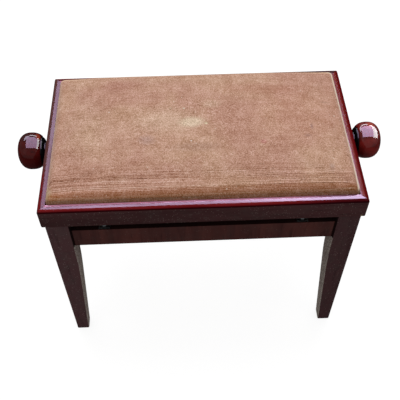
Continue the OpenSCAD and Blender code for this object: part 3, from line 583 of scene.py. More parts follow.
class STOOL_OT_stage(Operator):
    """Sets up the pale floor, the soft lamps, the plain world and the camera"""
    bl_idname = "stool.stage"
    bl_label = "Stage"

    def execute(self, context):
        scene, settings = context.scene, context.scene.stool.studio
        scene.view_settings.view_transform = "Standard"
        self.world(scene, settings)
        self.floor(settings.floor)
        self.lamp("sky", 0.0, 66.0, 2.3, (2.6, 1.9), settings.sky, (0.98, 0.98, 1.0))
        self.lamp("left_fill", -128.0, 32.0, 2.4, (1.2, 1.2), settings.fill, (1.0, 0.98, 0.96))
        self.lamp("right_fill", 122.0, 32.0, 2.4, (1.2, 1.2), settings.fill, (1.0, 0.98, 0.96))
        polished = bpy.data.collections.new("polished")
        for name, x, y, size, share, colour in (
            ("middle_card", 0.175, 0.90, (2.85, 3.6), 1.0, (0.88, 0.64, 1.0)),
            ("left_card", -1.90, 3.0, (1.3, 3.0), 1.0, (0.84, 0.78, 1.0)),
            ("right_card", 5.10, 1.45, (7.0, 5.1), 1.7, (0.96, 0.96, 1.0)),
            ("back_card", 0.0, 5.2, (3.2, 2.0), 1.2, (0.95, 0.90, 1.0)),
        ):
            card = self.lamp(name, 0.0, 90.0, 2.0, size, share * settings.cards, colour)
            card.location += Vector((x, y, 0.0))
            card.visible_diffuse = False
            card.light_linking.receiver_collection = polished
        self.camera(scene, settings)
        return {"FINISHED"}

    def world(self, scene, settings):
        """A plain light, which the camera, gloss and glass see as white."""
        world = bpy.data.worlds.new("studio")
        nodes = cleared(world)
        ray = nodes.add("LightPath").outputs
        seen = nodes.calc("MAXIMUM", ray["Is Camera Ray"], nodes.calc(
            "MAXIMUM", ray["Is Glossy Ray"], ray["Is Transmission Ray"]))
        strength = nodes.line(seen, 1.0 - settings.ambient, settings.ambient)
        back = nodes.add("Background", {"Color": WHITE, "Strength": strength})
        nodes.add("OutputWorld", {"Surface": back.outputs[0]})
        scene.world = world

    def floor(self, shade):
        """A round pale floor. It is as white as the world, keeps the stool's shadow, and throws little light up."""
        radius, glow, a = 14.0, 1.15, full_turn(96)
        floor = make_piece("floor", np.stack([radius * np.cos(a), radius * np.sin(a), 0 * a], -1), [range(len(a))])
        if floor.data.polygons[0].normal.z < 0:
            floor.data.flip_normals()
        material = bpy.data.materials.new("pale_floor")
        nodes = cleared(material)
        grain = nodes.noise(3.0, 2.0, at=nodes.places())
        matt = nodes.add("BsdfDiffuse", {"Color": nodes.mix((shade * 0.98,) * 3, (shade * 1.02,) * 3, grain)})
        strength = nodes.times(nodes.add("LightPath").outputs["Is Camera Ray"], glow - shade)
        light = nodes.add("Emission", {"Color": WHITE, "Strength": strength})
        both = nodes.add("AddShader", {0: matt.outputs[0], 1: light.outputs[0]})
        nodes.add("OutputMaterial", {"Surface": both.outputs[0]})
        floor.data.materials.append(material)

    def stand(self, name, data, place, across, up, out):
        """Makes an object at a place, with its own axes along across, up and out."""
        made = bpy.data.objects.new(name, data)
        made.matrix_world = Matrix.Translation(place) @ Matrix((across, up, out)).transposed().to_4x4()
        bpy.context.scene.collection.objects.link(made)
        return made

    def lamp(self, name, azimuth, elevation, distance, size, radiance, colour):
        """A soft rectangular lamp that faces the seat. Azimuth 0 stands behind the stool and 90 to its right.

        Its power is its radiance times pi times its area."""
        az, el = math.radians(azimuth), math.radians(elevation)
        out = Vector((math.sin(az) * math.cos(el), math.cos(az) * math.cos(el), math.sin(el)))
        across = Vector((math.cos(az), -math.sin(az), 0.0))
        light = bpy.data.lights.new(name, "AREA")
        light.shape = "RECTANGLE"
        light.size, light.size_y = size
        light.energy = radiance * math.pi * size[0] * size[1]
        light.color = colour
        seat = Vector((0.0, 0.0, FRAME_HIGH.z))
        lamp = self.stand(name, light, seat + distance * out, across, out.cross(across), out)
        lamp.visible_camera = False
        return lamp

    def camera(self, scene, settings):
        """The photograph's viewpoint: 52 degrees down on the stool from in front, turned 2 degrees to the right."""
        pitch, roll, yaw = (math.radians(a) for a in (52.33, -0.36, 2.06))
        forward = Vector((math.sin(yaw) * math.cos(pitch), math.cos(yaw) * math.cos(pitch), -math.sin(pitch)))
        right = Vector((math.cos(yaw), -math.sin(yaw), 0.0))
        up = right.cross(forward)
        data = bpy.data.cameras.new("camera")
        data.sensor_width, data.lens = 36.0, settings.lens
        data.clip_start, data.clip_end = 0.05, 60.0
        scene.camera = self.stand("camera", data, (-0.0305, -0.8247, 1.3076),
                                  math.cos(roll) * right + math.sin(roll) * up,
                                  -math.sin(roll) * right + math.cos(roll) * up, -forward)


# ---- the seat ----

class STOOL_OT_cushion(Operator):
    """Makes the cushion in its cord cloth: crowned, blown up by a cloth simulation and hemmed under its board"""
    bl_idname = "stool.cushion"
    bl_label = "Cushion"

    cells = (2 * 53, 2 * 30)
    ring = 2 * sum(cells)

    def execute(self, context):
        settings = context.scene.stool.cushion
        points, faces, loops = self.shape(settings)
        cushion = make_piece("cushion", points, faces, merge=False)
        self.blow_up(context, cushion, settings)
        self.map_cloth(cushion.data, loops)
        cushion.data.set_sharp_from_angle(angle=math.radians(70))
        smooth = cushion.modifiers.new("smooth", "SUBSURF")
        smooth.levels = smooth.render_levels = 1
        smooth.boundary_smooth = "PRESERVE_CORNERS"
        dress(cushion, cord_cloth(settings))
        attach(cushion, "seat")
        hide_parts("seat_cover", "foam_pad")
        return {"FINISHED"}

    def edge_line(self, half_x, half_y, corner, pull, count):
        """The plan's front side, from the middle of one corner's arc to the middle of the next.

        It is even in arc length, and the straight part draws in by pull times (1 - t squared)."""
        a = np.linspace(math.radians(45), 0, 7)
        left = np.stack([-half_x + corner - corner * np.sin(a), -half_y + corner - corner * np.cos(a)], -1)
        t = np.linspace(-1, 1, 61)[1:-1]
        straight = np.stack([t * (half_x - corner), -half_y + pull * (1 - t * t)], -1)
        line = np.concatenate([left, straight, left[::-1] * [-1, 1]])
        run = run_lengths(line)
        at = np.linspace(0, run[-1], count + 1)
        return np.stack([np.interp(at, run, line[:, 0]), np.interp(at, run, line[:, 1])], -1)

    def plan(self, half_x, half_y, corner, pull=0.0):
        """The four sides of the rounded plan as (front, back, left, right) lines of cells + 1 points."""
        front = self.edge_line(half_x, half_y, corner, pull, self.cells[0])
        left = self.edge_line(half_y, half_x, corner, pull, self.cells[1])[:, ::-1]
        return front, front * [1, -1], left, left * [-1, 1]

    def loop(self, sides):
        """The plan's outline, anticlockwise from the front left corner, each corner once."""
        front, back, left, right = sides
        return np.concatenate([front[:-1], right[:-1], back[::-1][:-1], left[::-1][:-1]])

    def rim(self):
        """Numbers of the grid's outline points, in the same order as loop()."""
        m, n = self.cells
        number = np.arange((m + 1) * (n + 1)).reshape(m + 1, n + 1)
        return np.concatenate([number[:-1, 0], number[-1, :-1], number[:0:-1, -1], number[0, :0:-1]])

    def sheet(self, sides):
        """A grid between four side lines: each pair blended, less the blend of the four corners."""
        front, back, left, right = sides
        s = np.linspace(0, 1, self.cells[0] + 1)[:, None, None]
        t = np.linspace(0, 1, self.cells[1] + 1)[None, :, None]
        across = (1 - t) * front[:, None, :] + t * back[:, None, :]
        along = (1 - s) * left[None, :, :] + s * right[None, :, :]
        corners = (1 - s) * (1 - t) * front[0] + s * (1 - t) * front[-1] + (1 - s) * t * back[0] + s * t * back[-1]
        return across + along - corners

    def shape(self, settings):
        """The cushion before it is blown up.

        Top: height = shoulder + rise (1 - |x/a| to the power 2.2) (1 - |y/b| to the power 2.2).
        Side: a 75 degree turn down from the top's edge, then upright to the ledge, under the board as a hem,
        and back in to the foam's underside. Returns the points, the faces and the number of rings."""
        gap, ease, hem_ease, under_in, under_ease = 1 * MM, 0.8 * MM, 1.2 * MM, 8 * MM, 2 * MM
        half_x, half_y, tight = COVER_HIGH.x - gap, COVER_HIGH.y - gap, settings.corner_foot
        side_z, sweep, power = BOARD_HIGH.z + 1.5 * MM, 75, 2.2

        def lean(a):
            return settings.shoulder_in * (1 - math.cos(math.radians(a)))

        def lift(a):
            rise = FRAME_HIGH.z + settings.shoulder - side_z
            return side_z + rise * math.sin(math.radians(a)) / math.sin(math.radians(sweep))

        def fall(distance, half):
            return 1 - np.minimum(1, np.abs(distance) / half) ** power

        edge_x, edge_y = half_x - lean(sweep), half_y - lean(sweep)
        top = self.sheet(self.plan(edge_x, edge_y, settings.corner, settings.drawn_in))
        z = lift(sweep) + (settings.crown - settings.shoulder) * fall(top[..., 0], edge_x) * fall(top[..., 1], edge_y)
        crown = np.dstack([top, z - top[..., 0] / half_x * settings.fuller]).reshape(-1, 3)
        # rings down the side and under the board, as (distance in, corner's radius, drawn in, height)
        turn = (60, 45, 30, 15, 0)
        rings = [(lean(a), tight + (settings.corner - tight) * a / sweep, settings.drawn_in * a / sweep, lift(a))
                 for a in turn]
        rings += [(0.0, tight, 0.0, z) for z in (*within(FRAME_HIGH.z, 1, 4), COVER_LOW.z + ease)]
        rings += [(ease, tight - ease, 0.0, COVER_LOW.z)]
        rings += [(settings.hem, tight - hem_ease, 0.0, z) for z in (COVER_LOW.z, BOARD_LOW.z)]
        inset = half_x - BOARD_HIGH.x
        rings += [(inset, tight - inset, 0.0, z) for z in (BOARD_LOW.z, BOARD_HIGH.z)]
        loops = [np.column_stack([self.loop(self.plan(half_x - inset, half_y - inset, corner, pull)),
                                  np.full(self.ring, z)]) for inset, corner, pull, z in rings]
        for loop, a in zip(loops, turn):
            loop[:, 2] -= loop[:, 0] / half_x * settings.fuller * a / sweep
        under = self.sheet(self.plan(half_x - under_in, half_y - under_in, tight - under_ease))
        under = np.dstack([under, np.full(under.shape[:2], BOARD_HIGH.z)]).reshape(-1, 3)
        points = np.concatenate([crown, *loops, under])
        # the corners sag: by a share of the height, a bell of the distance from the corner, the back ones further in
        far = (np.abs(points[:, 0]) - half_x) ** 2 + (np.abs(points[:, 1]) - half_y) ** 2
        back = points[:, 1] > 0
        reach = settings.sag_reach * np.where(back, 1.6, 0.8)
        sag = settings.sag * np.where(back, 1.3, 1.0) * np.exp(-far / (2 * reach ** 2))
        points[:, 2] -= sag * np.maximum(0, points[:, 2] - side_z)
        # faces: the top, the side from the top's rim to the underside's, and the underside
        rim, first, last = self.rim(), len(crown), len(crown) + len(loops) * self.ring
        order = np.concatenate([[rim], np.arange(first, last).reshape(-1, self.ring), [last + rim]])
        side = order.ravel()[grid_faces(len(order), self.ring, wrap_cols=True)]
        grid = grid_faces(self.cells[0] + 1, self.cells[1] + 1)
        return points, np.concatenate([grid, side, last + grid[:, ::-1]]), len(loops)

    def blow_up(self, context, cushion, settings):
        """Swells the cushion by cloth simulation. What lies in the frame is held. Each point keeps the part of
        its move that goes outwards, and nears the cap softly: cap times tanh(move / cap)."""
        scene, mesh, grip = context.scene, cushion.data, BOARD_HIGH.z + 2.2 * MM
        rest = vectors(mesh, "co")
        held = cushion.vertex_groups.new(name="held")
        held.add(np.flatnonzero(rest[:, 2] < grip).tolist(), 1.0, "REPLACE")
        cloth = cushion.modifiers.new("swell", "CLOTH")
        for key, value in dict(
            quality=6, mass=0.3, tension_stiffness=12, compression_stiffness=12, shear_stiffness=6,
            bending_stiffness=1.5, use_pressure=True, uniform_pressure_force=settings.pressure,
            vertex_group_mass="held",
        ).items():
            setattr(cloth.settings, key, value)
        cloth.settings.effector_weights.gravity = 0
        cloth.collision_settings.use_collision = False
        scene.frame_start, scene.frame_end = 1, settings.frames
        for number in range(1, settings.frames + 1):
            scene.frame_set(number)
        moved = vectors(cushion.evaluated_get(context.evaluated_depsgraph_get()).to_mesh(), "co")
        cushion.modifiers.remove(cloth)
        cushion.vertex_groups.remove(held)
        scene.frame_set(1)
        outward = vectors(mesh, "normal")
        far = np.maximum(0, ((moved - rest) * outward).sum(1, keepdims=True))
        mesh.vertices.foreach_set("co", (rest + outward * settings.swell * np.tanh(far / settings.swell)).ravel())
        mesh.update()

    def map_cloth(self, mesh, loops):
        """Lays the cloth's own map in metres, in which the wales run straight along u.

        On the top, u is the run length over the middle line along X at the point's x, and v that over the
        middle line along Y at its y. Below the rim, a point keeps its rim point's u and v plus the run length
        down, along the rim's outward direction."""
        co = vectors(mesh, "co")
        m, n = self.cells
        first, last = (m + 1) * (n + 1), (m + 1) * (n + 1) + loops * self.ring
        top = co[:first].reshape(m + 1, n + 1, 3)
        own = np.zeros((len(co), 2))
        for axis, line in enumerate((top[:, n // 2], top[m // 2])):
            run = run_lengths(line)
            own[:first, axis] = np.interp(co[:first, axis], line[:, axis], run - run[len(run) // 2])
        rim = self.rim()
        rows = np.concatenate([[co[rim]], co[first:last].reshape(loops, self.ring, 3)])
        down = np.cumsum(np.linalg.norm(np.diff(rows, axis=0), axis=2), 0)
        tangent = np.roll(rows[-1], -1, 0) - np.roll(rows[-1], 1, 0)
        outward = np.stack([tangent[:, 1], -tangent[:, 0]], -1)
        outward /= np.linalg.norm(outward, axis=1, keepdims=True)
        own[first:last] = (own[rim][None] + outward[None] * down[..., None]).reshape(-1, 2)
        own[last:] = own[:first]
        layer = mesh.uv_layers.new(name="cloth")
        corner = np.empty(len(mesh.loops), np.int32)
        mesh.loops.foreach_get("vertex_index", corner)
        layer.data.foreach_set("uv", own[corner].ravel())


class STOOL_OT_seat_frame(Operator):
    """Makes the four mitred rails of the seat frame, with bored side rails"""
    bl_idname = "stool.seat_frame"
    bl_label = "Seat frame"

    def execute(self, context):
        wood, high = context.scene.stool.wood, FRAME_HIGH.z

        def top(share, tint):
            return {"edge": within(high, 6.9, 5.4), "shaded_foot": within(high, 4.6, 1.6), "flat": within(high, 1.05, 0.92),
                    "colours": (wood.frame_red, wood.frame_top, wood.frame_shaded_foot), "gloss": wood.frame_gloss,
                    "share": share, "tint": tint}

        chip = ((0.2725, -0.165, FRAME_LOW.z + 3.5 * MM), (0.0022, 0.003, 0.0018), (0.42, 0.30, 0.16), 1.0)
        long_way = lacquer("frame_lacquer_long", wood.frame_dark, scaled(wood.frame_dark, 1.5), ALONG_X, 0.34,
                           dust=0.25, top=top(self.long_share, self.long_tint), marks=(chip,))
        left_way = lacquer("frame_lacquer_left", (0.120, 0.034, 0.030), (0.200, 0.050, 0.045), ALONG_Y, 0.30,
                           dust=0.10, top=top(self.left_share, self.left_tint))
        right_way = lacquer("frame_lacquer_right", (0.110, 0.008, 0.008), (0.200, 0.016, 0.014), ALONG_Y, 0.30,
                            dust=0.06, top=top(self.right_share, self.right_tint))
        for side, finish in (("front", long_way), ("back", long_way), ("left", left_way), ("right", right_way)):
            rail = self.rail(side)
            dress(rail, finish)
            polish(rail)
            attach(rail, "seat")
            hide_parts(f"seat_{side}_rail")
        return {"FINISHED"}

    def long_share(self, coat):
        """The front and back rails shine more to the right, and most along the flat's outer side."""
        outer = coat.step(coat.z, *within(FRAME_HIGH.z, 0.1, 0.85), 0.85, 1.06)
        return coat.times(outer, coat.step(coat.x, -0.28, 0.14, 0.58, 1.0))

    def long_tint(self, coat, colour, flat):
        """Their flat is a deeper red, nearly black at the right end, with a pale painted reflection beside the cushion.
        """
        colour = coat.mix(colour, (0.080, 0.007, 0.012), coat.times(flat, 0.85))
        # painted reflection: a pale lavender along the lip beside the cushion, for the sky that the lip reflects
        bloom = coat.step(coat.z, *within(FRAME_HIGH.z, 0.50, 0.20), 0.0, 0.95)
        colour = coat.mix(colour, (0.720, 0.310, 0.470), bloom)
        return coat.mix(colour, (0.020, 0.002, 0.004), coat.step(coat.x, 0.12, 0.25, 0.0, 0.65))

    def left_share(self, coat):
        """Polish is left on the inner half of the left rail's flat, and less of it towards the back."""
        inner = coat.step(coat.calc("ABSOLUTE", coat.x), *within(HALF_WIDTH, 5.5, 8.0))
        front = coat.step(coat.y, -0.06, -0.13)
        return coat.line(inner, coat.line(front, 0.05, 0.25), 0.02)

    def left_tint(self, coat, colour, flat):
        """Its colour turns a brownish mauve, except near the front."""
        faded = coat.step(coat.line(coat.noise(60.0), 0.04, coat.y), -0.09, -0.03, 0.08, 0.92)
        dim = coat.mix(colour, (0.055, 0.004, 0.006), coat.times(flat, 0.6))
        return coat.mix(dim, (0.112, 0.048, 0.044), faded)

    def right_share(self, coat):
        """The right rail is worn matt, but for a line beside the cushion towards the front."""
        line, front = coat.step(coat.x, *within(HALF_WIDTH, 11.6, 12.6)), coat.step(coat.y, 0.02, -0.05, 0.08, 0.50)
        return coat.calc("ADD", coat.times(line, front), coat.step(coat.x, *within(HALF_WIDTH, 6.5, 9.5), 0.0, 0.09))

    def right_tint(self, coat, colour, flat):
        """Its flat is brick red, deeper towards the outer side."""
        outer = coat.step(coat.x, *within(HALF_WIDTH, 8.5, 5.5), 0.0, 0.75)
        return coat.mix(coat.mix(colour, (0.225, 0.038, 0.032), flat), (0.115, 0.003, 0.004), outer)

    def section(self):
        """The rail's outline as (distance in from the outer face, height over the rail's lower edge).

        The rounding ends 1 mm below the lip, so the flat falls outwards by about 7 degrees."""
        height, bore = FRAME_HIGH.z - FRAME_LOW.z, SPINDLE_Z - FRAME_LOW.z
        thick, lip, ledge, fall = 22 * MM, 14.2 * MM, height - 9 * MM, 1 * MM
        foot, rounding, rim, inner = 1.5 * MM, 5.6 * MM, 0.8 * MM, 0.6 * MM
        return np.concatenate([
            arc(foot, foot, foot, 270, 180, 6), [[0, bore]],
            arc(rounding, height - fall - rounding, rounding, 180, 90, 20),
            arc(lip - rim, height - rim, rim, 90, 0, 6), arc(lip + inner, ledge + inner, inner, 180, 270, 3),
            arc(thick - rim, ledge - rim, rim, 90, 0, 3), [[thick, bore]],
            arc(thick - foot, foot, foot, 0, -90, 6),
        ])

    def rail(self, side):
        """Carries the section along the side. A point ends where its run is half the length less its distance
        in, so the ends are the mitres, each a hair short of its neighbour's. The frame's upright corners are
        rounded: a point less than the radius in turns about the corner's centre up to the mitre."""
        section = self.section()
        long_side = side in ("front", "back")
        half, across = (HALF_WIDTH, HALF_DEPTH) if long_side else (HALF_DEPTH, HALF_WIDTH)
        inward, radius, beside_bore = section[:, 0], 3 * MM, 18 * MM
        centre = np.maximum(inward, radius)
        rest = centre - inward
        ends = [(half - centre + rest * math.sin(a) - MITRE_GAP, centre - rest * math.cos(a))
                for a in np.radians([45, 30, 15, 0])]
        middle = [] if long_side else [(np.full_like(inward, run), inward) for run in (-beside_bore, beside_bore)]
        rows = [(-run, depth) for run, depth in ends] + middle + ends[::-1]
        points = np.concatenate([np.column_stack([run, depth - across, FRAME_LOW.z + section[:, 1]])
                                 for run, depth in rows])
        faces = tube_faces(len(rows), len(section))
        if not long_side:
            points, faces = self.bore(points, faces, section, across, len(ends))
            points = points[:, [1, 0, 2]]
        if side in ("back", "right"):
            points = points * ([1, -1, 1] if long_side else [-1, 1, 1])
        return make_piece(f"{side}_rail_moulding", points, faces, sharp=35)

    def bore(self, points, faces, section, across, row):
        """Opens the bush's hole: the two flat faces of the stretch after that row become half rings about a
        circle, and a tube joins the circles."""
        n, radius, steps = len(section), 10.1 * MM, 48
        a = full_turn(steps)
        left, right = row * n, (row + 1) * n
        drop, tubes = set(), []
        for k in np.flatnonzero(np.isclose(section[:, 1], SPINDLE_Z - FRAME_LOW.z)).tolist():
            below, above = ((k - 1) % n, k + 1) if section[k, 0] < 1 * MM else (k + 1, k - 1)
            start = len(points)
            points = np.concatenate([points, np.column_stack([
                radius * np.cos(a), np.full(steps, -across + section[k, 0]), SPINDLE_Z + radius * np.sin(a)])])
            tubes.append(start)
            faces += [[right + k, right + above, left + above, left + k,
                       *(start + steps // 2 - i for i in range(steps // 2 + 1))],
                      [left + k, left + below, right + below, right + k,
                       *(start + (steps - i) % steps for i in range(steps // 2 + 1))]]
            drop |= {frozenset((left + k, left + other, right + k, right + other)) for other in (below, above)}
        faces = [f for f in faces if frozenset(f) not in drop]
        first, second = tubes
        faces += [[first + i, first + (i + 1) % steps, second + (i + 1) % steps, second + i] for i in range(steps)]
        return points, faces


# ---- knobs and spindle ----

class STOOL_OT_knobs(Operator):
    """Turns the two wooden knobs and their black collars"""
    bl_idname = "stool.knobs"
    bl_label = "Knobs"

    def execute(self, context):
        turning, wood = context.scene.stool.turning, context.scene.stool.wood
        black = lacquer("black_lacquer", (0.003, 0.003, 0.004), (0.006, 0.006, 0.007), (1.0, 1.0, 1.0), 0.16,
                        gloss=0.11)
        # each knob's depth of colour and share of gloss, which make a lit and a shaded copy of one lacquer, and one
        # painted glow of light through the lacquer
        for side, depth, share, painted_glow in (
            ("left", 1.0, 0.66, ((-0.297, 0.006, 0.431), (0.007, 0.013, 0.007), (0.34, 0.045, 0.018), 0.9)),
            ("right", 2.3, 1.12, ((0.314, 0.008, 0.437), (0.010, 0.012, 0.007), (0.42, 0.060, 0.034), 0.8)),
        ):
            shine = lacquer(f"knob_lacquer_{side}", scaled(wood.knob_dark, depth), scaled(wood.knob_red, depth),
                            (0.35, 1.0, 1.0), 0.24, gloss=share * wood.knob_gloss, marks=(painted_glow,))
            for name, node, outline, finish, slot in (
                (f"{side}_knob_turning", f"{side}_knob", self.knob_outline, shine, "knob_lacquer"),
                (f"{side}_collar_turning", f"{side}_knob_collar", self.collar_outline, black, "black_lacquer"),
            ):
                low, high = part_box(node)
                profile = outline(*sorted((abs(low.x), abs(high.x))), (high.z - low.z) / 2, turning)
                piece = make_piece(name, *turned(profile, turning.steps, side == "left"), sharp=40)
                dress(piece, finish)
                polish(piece)
                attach(piece, "spindle")
                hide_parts(node)
            bush = frame["nodes"][f"{side}_escutcheon"]
            dress(bush, black)
            polish(bush)
        return {"FINISHED"}

    def knob_outline(self, inner, outer, radius, turning):
        """A bun: from the crest the radius falls as a superellipse, (x/l) to the p plus (r/R) to the p is 1,
        to nothing at the outer end and to the flat back's radius at the inner end."""
        inner, power, crest = inner - turning.nearer, turning.power, outer - turning.crest
        flat, ease, rim, depth = 27.5 * MM, 0.7 * MM, 0.15 * MM, 17 * MM
        length = (crest - inner) / (1 - (flat / radius) ** power) ** (1 / power)
        start = math.asin(((crest - inner) / length) ** (power / 2))
        a = np.linspace(start, 0, 24)[1:]
        back = np.stack([crest - length * np.sin(a) ** (2 / power), radius * np.cos(a) ** (2 / power)], -1)
        a = np.linspace(0, math.pi / 2, 48)[1:]
        face = np.stack([crest + turning.crest * np.sin(a) ** (2 / power),
                         radius * np.maximum(np.cos(a), 0) ** (2 / power)], -1)
        face[-1, 1] = 0
        hole = [[outer - depth, 0], [outer - depth, KNOB_BORE], [inner, KNOB_BORE]]
        return np.concatenate([hole, [[inner, flat - ease], [inner + rim, flat - rim]], back, face])

    def collar_outline(self, inner, outer, radius, turning):
        """A short neck, then a flare that swells as a quarter ellipse to the knob, with eased rims."""
        outer = outer - turning.nearer
        neck, rise, neck_share, ease, rim = 16 * MM, 1.5 * MM, 0.3, 0.5 * MM, 0.15 * MM
        neck_end = inner + neck_share * (outer - inner)
        a = np.radians(np.linspace(-90, 0, 25))
        flare = np.stack([outer + (outer - neck_end) * np.sin(a), neck + rise + (radius - neck - rise) * np.cos(a)], -1)
        flare[-1, 0] = outer - 0.3 * MM
        loop = [[outer, KNOB_BORE], [inner, KNOB_BORE], [inner, neck - ease], [inner + rim, neck - rim],
                [inner + ease, neck], [neck_end - 0.4 * MM, neck], [neck_end, neck + 0.3 * MM]]
        return np.concatenate([loop, flare, [[outer, radius - 0.4 * MM], [outer, KNOB_BORE]]])


class STOOL_OT_spindle(Operator):
    """Makes the spindle, with its thread where the nut bar travels"""
    bl_idname = "stool.spindle"
    bl_label = "Spindle"

    def execute(self, context):
        turning = context.scene.stool.turning
        crest, root, half = (SPINDLE_HIGH.z - SPINDLE_LOW.z) / 2, turning.root / 2, SPINDLE_HIGH.x
        nut_low, nut_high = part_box("nut_bar")
        nut = (nut_low.x + nut_high.x) / 2
        travel, beyond = 62 * MM, 34 * MM
        low, high = nut - travel, nut + beyond
        steps, per_turn, ease, runout, hair = 48, 14, 0.6 * MM, 2.5 * MM, 0.1 * MM
        along = np.arange(low, high, turning.lead / per_turn)
        x = np.concatenate([[-half, -half + ease, low - 3 * MM, low - hair], along, [high + hair, half - ease, half]])
        # the thread's flanks: a flat crest and a flat root, joined by slopes, fading out at both ends
        phase = (x[:, None] / turning.lead - full_turn(steps)[None] / (2 * math.pi)) % 1
        ridge = np.clip((0.5 - np.abs(phase - 0.5)) * 2 * 2.2 - 0.6, 0, 1)
        fade = np.clip(np.minimum(x - low, high - x) / runout, 0, 1)[:, None]
        radius = crest - (crest - root) * (1 - ridge) * fade
        radius[[0, -1]] = crest - ease
        spindle = make_piece("threaded_spindle", around(x, radius, steps), tube_faces(len(x), steps), sharp=35)
        dress(spindle, steel("spindle_steel", (0.50, 0.49, 0.48), 0.28, rust=0.2))
        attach(spindle, "spindle")
        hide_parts("spindle")
        return {"FINISHED"}


# ---- legs and aprons ----

class STOOL_OT_legs(Operator):
    """Makes the four tapered legs, eased on all their edges, and finishes the aprons"""
    bl_idname = "stool.legs"
    bl_label = "Legs and aprons"

    def execute(self, context):
        wood = context.scene.stool.wood
        chip = ((-0.2735, -0.160, 0.145), (0.0018, 0.003, 0.0028), (0.40, 0.16, 0.03), 1.0)
        coat = lacquer("leg_lacquer", wood.leg_dark, wood.leg_red, ALONG_Z, 0.45, dust=0.34, marks=(chip,))
        dusty_side(coat, 0.06, 0.30)
        for side in ("front_left", "front_right", "back_left", "back_right"):
            leg = self.leg(side)
            dress(leg, coat)
            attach(leg, "base")
            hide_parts(f"{side}_leg")
        panel = lacquer("apron_lacquer", wood.apron_dark, wood.apron_red, (1.0, 1.0, 0.12), 0.42, dust=0.14)
        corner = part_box("front_left_leg")[0]
        shade_apron(panel, abs(corner.x) - LEG_WIDTH, abs(corner.y) - LEG_WIDTH)
        for side in ("front", "back", "left", "right"):
            dress(frame["nodes"][f"{side}_apron"], panel)
        return {"FINISHED"}

    def width(self, z):
        """The leg's width at a height: full over the eased knee, then a straight taper, joined by a curve
        with a changing slope: z and width are both quadratic in t."""
        foot, knee, ease = 24.5 * MM, 255 * MM, 40 * MM
        taper = (LEG_WIDTH - foot) / knee
        t = np.linspace(0, 1, 33)
        heights = knee - ease + 2 * ease * t
        widths = (LEG_WIDTH - taper * ease) * (1 - t) ** 2 + LEG_WIDTH * (2 * t * (1 - t) + t * t)
        return np.where(z < heights[0], foot + taper * z, np.interp(z, heights, widths))

    def leg(self, side):
        """A rounded square carried up the leg. Its outer corner keeps its place and the width follows height.

        Over the aprons' lower edge, the inner corner has the flat on which the corner block bears."""
        low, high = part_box(f"{side}_leg")
        rim, top_rim, ease, outer, block_flat, steps = 3 * MM, 0.8 * MM, 2.5 * MM, 2 * MM, 5.66 * MM, 5
        knee_low, knee_high, turn = 0.21, 0.30, np.radians([0, 30, 60])
        z = np.unique(np.concatenate([np.linspace(low.z + rim, knee_low, 12), np.linspace(knee_low, knee_high, 15)]))
        z = np.concatenate([low.z + rim * (1 - np.cos(turn)), z, [APRON_LOW, APRON_LOW, high.z - top_rim, high.z]])
        inset = np.zeros(len(z))
        inset[:3], inset[-1] = rim * (1 - np.sin(turn)), top_rim
        rows = []
        for number, (height, wide, a) in enumerate(zip(z, self.width(z), inset)):
            b = wide - a
            far = arc(b - ease, b - ease, ease, 0, 90, steps)
            if number >= len(z) - 3:
                cut = block_flat - a
                far = np.linspace([b, b - cut], [b - cut, b], steps + 1)
            outline = np.concatenate([arc(a + outer, a + outer, outer, 180, 270, steps),
                                      arc(b - ease, a + ease, ease, 270, 360, steps), far,
                                      arc(a + ease, b - ease, ease, 90, 180, steps)])
            rows.append(np.column_stack([outline, np.full(len(outline), height)]))
        points = np.concatenate(rows) - [max(abs(low.x), abs(high.x)), max(abs(low.y), abs(high.y)), 0]
        points *= [1 if "left" in side else -1, 1 if "front" in side else -1, 1]
        return make_piece(f"{side}_tapered_leg", points, tube_faces(len(rows), len(rows[0])), sharp=32)


# ---- the lift and what is inside ----

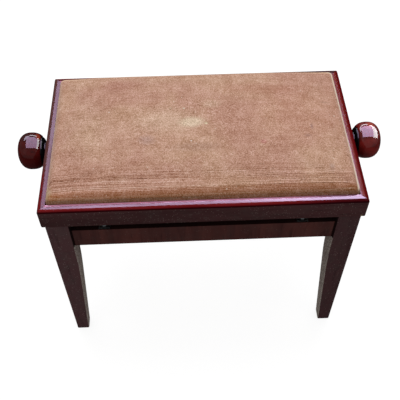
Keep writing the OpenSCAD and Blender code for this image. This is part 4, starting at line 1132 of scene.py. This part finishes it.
class STOOL_OT_lift(Operator):
    """Finishes the steel of the scissor lift and its fasteners"""
    bl_idname = "stool.lift"
    bl_label = "Scissor lift"

    def execute(self, context):
        finishes = {"strip_steel": steel("strip_steel", (0.110, 0.116, 0.122), 0.42, rust=0.05),
                    "bright_steel": steel("bright_steel", (0.50, 0.50, 0.51), 0.30, rust=0.08),
                    "nylon": moulded("nylon", (0.72, 0.70, 0.64), 0.45)}
        for entry in frame["record"]["subparts"]:
            if entry["material_slot"] in finishes:
                dress(frame["nodes"][entry["node"]], finishes[entry["material_slot"]])
        return {"FINISHED"}


class STOOL_OT_inner_wood(Operator):
    """Finishes the plain wood inside: corner blocks and the seat's plywood board"""
    bl_idname = "stool.inner_wood"
    bl_label = "Inner wood"

    def execute(self, context):
        beech = raw_wood("beech", (0.62, 0.44, 0.27), (0.50, 0.32, 0.18), (1.0, 1.0, 0.12))
        ply = raw_wood("plywood", (0.66, 0.50, 0.32), (0.55, 0.38, 0.22), ALONG_X)
        for name, finish in (("corner_blocks", beech), ("seat_corner_blocks", beech), ("seat_board", ply)):
            dress(frame["nodes"][name], finish)
        return {"FINISHED"}


class STOOL_PT_sidebar(Panel):
    """The stool's pieces and settings"""
    bl_label = "Piano Stool"
    bl_idname = "STOOL_PT_sidebar"
    bl_space_type = "VIEW_3D"
    bl_region_type = "UI"
    bl_category = "Piano Stool"

    def draw(self, context):
        stool = context.scene.stool
        for kind in STEPS:
            self.layout.operator(kind.bl_idname)
        for settings in (stool.cushion, stool.wood, stool.turning, stool.studio):
            box = self.layout.box()
            for key in settings.__annotations__:
                box.prop(settings, key)


STEPS = (STOOL_OT_stage, STOOL_OT_cushion, STOOL_OT_seat_frame, STOOL_OT_knobs, STOOL_OT_spindle, STOOL_OT_legs,
         STOOL_OT_lift, STOOL_OT_inner_wood)
CLASSES = (StoolCushionSettings, StoolWoodSettings, StoolTurningSettings, StoolStudioSettings, StoolSettings,
           *STEPS, STOOL_PT_sidebar)


def register():
    for kind in CLASSES:
        bpy.utils.register_class(kind)
    bpy.types.Scene.stool = PointerProperty(type=StoolSettings)


def unregister():
    del bpy.types.Scene.stool
    for kind in reversed(CLASSES):
        bpy.utils.unregister_class(kind)


def main():
    register()
    bpy.ops.stool.stage()
    bpy.ops.stool.cushion()
    bpy.ops.stool.seat_frame()
    bpy.ops.stool.knobs()
    bpy.ops.stool.spindle()
    bpy.ops.stool.legs()
    bpy.ops.stool.lift()
    bpy.ops.stool.inner_wood()


if __name__ == "__main__":
    main()
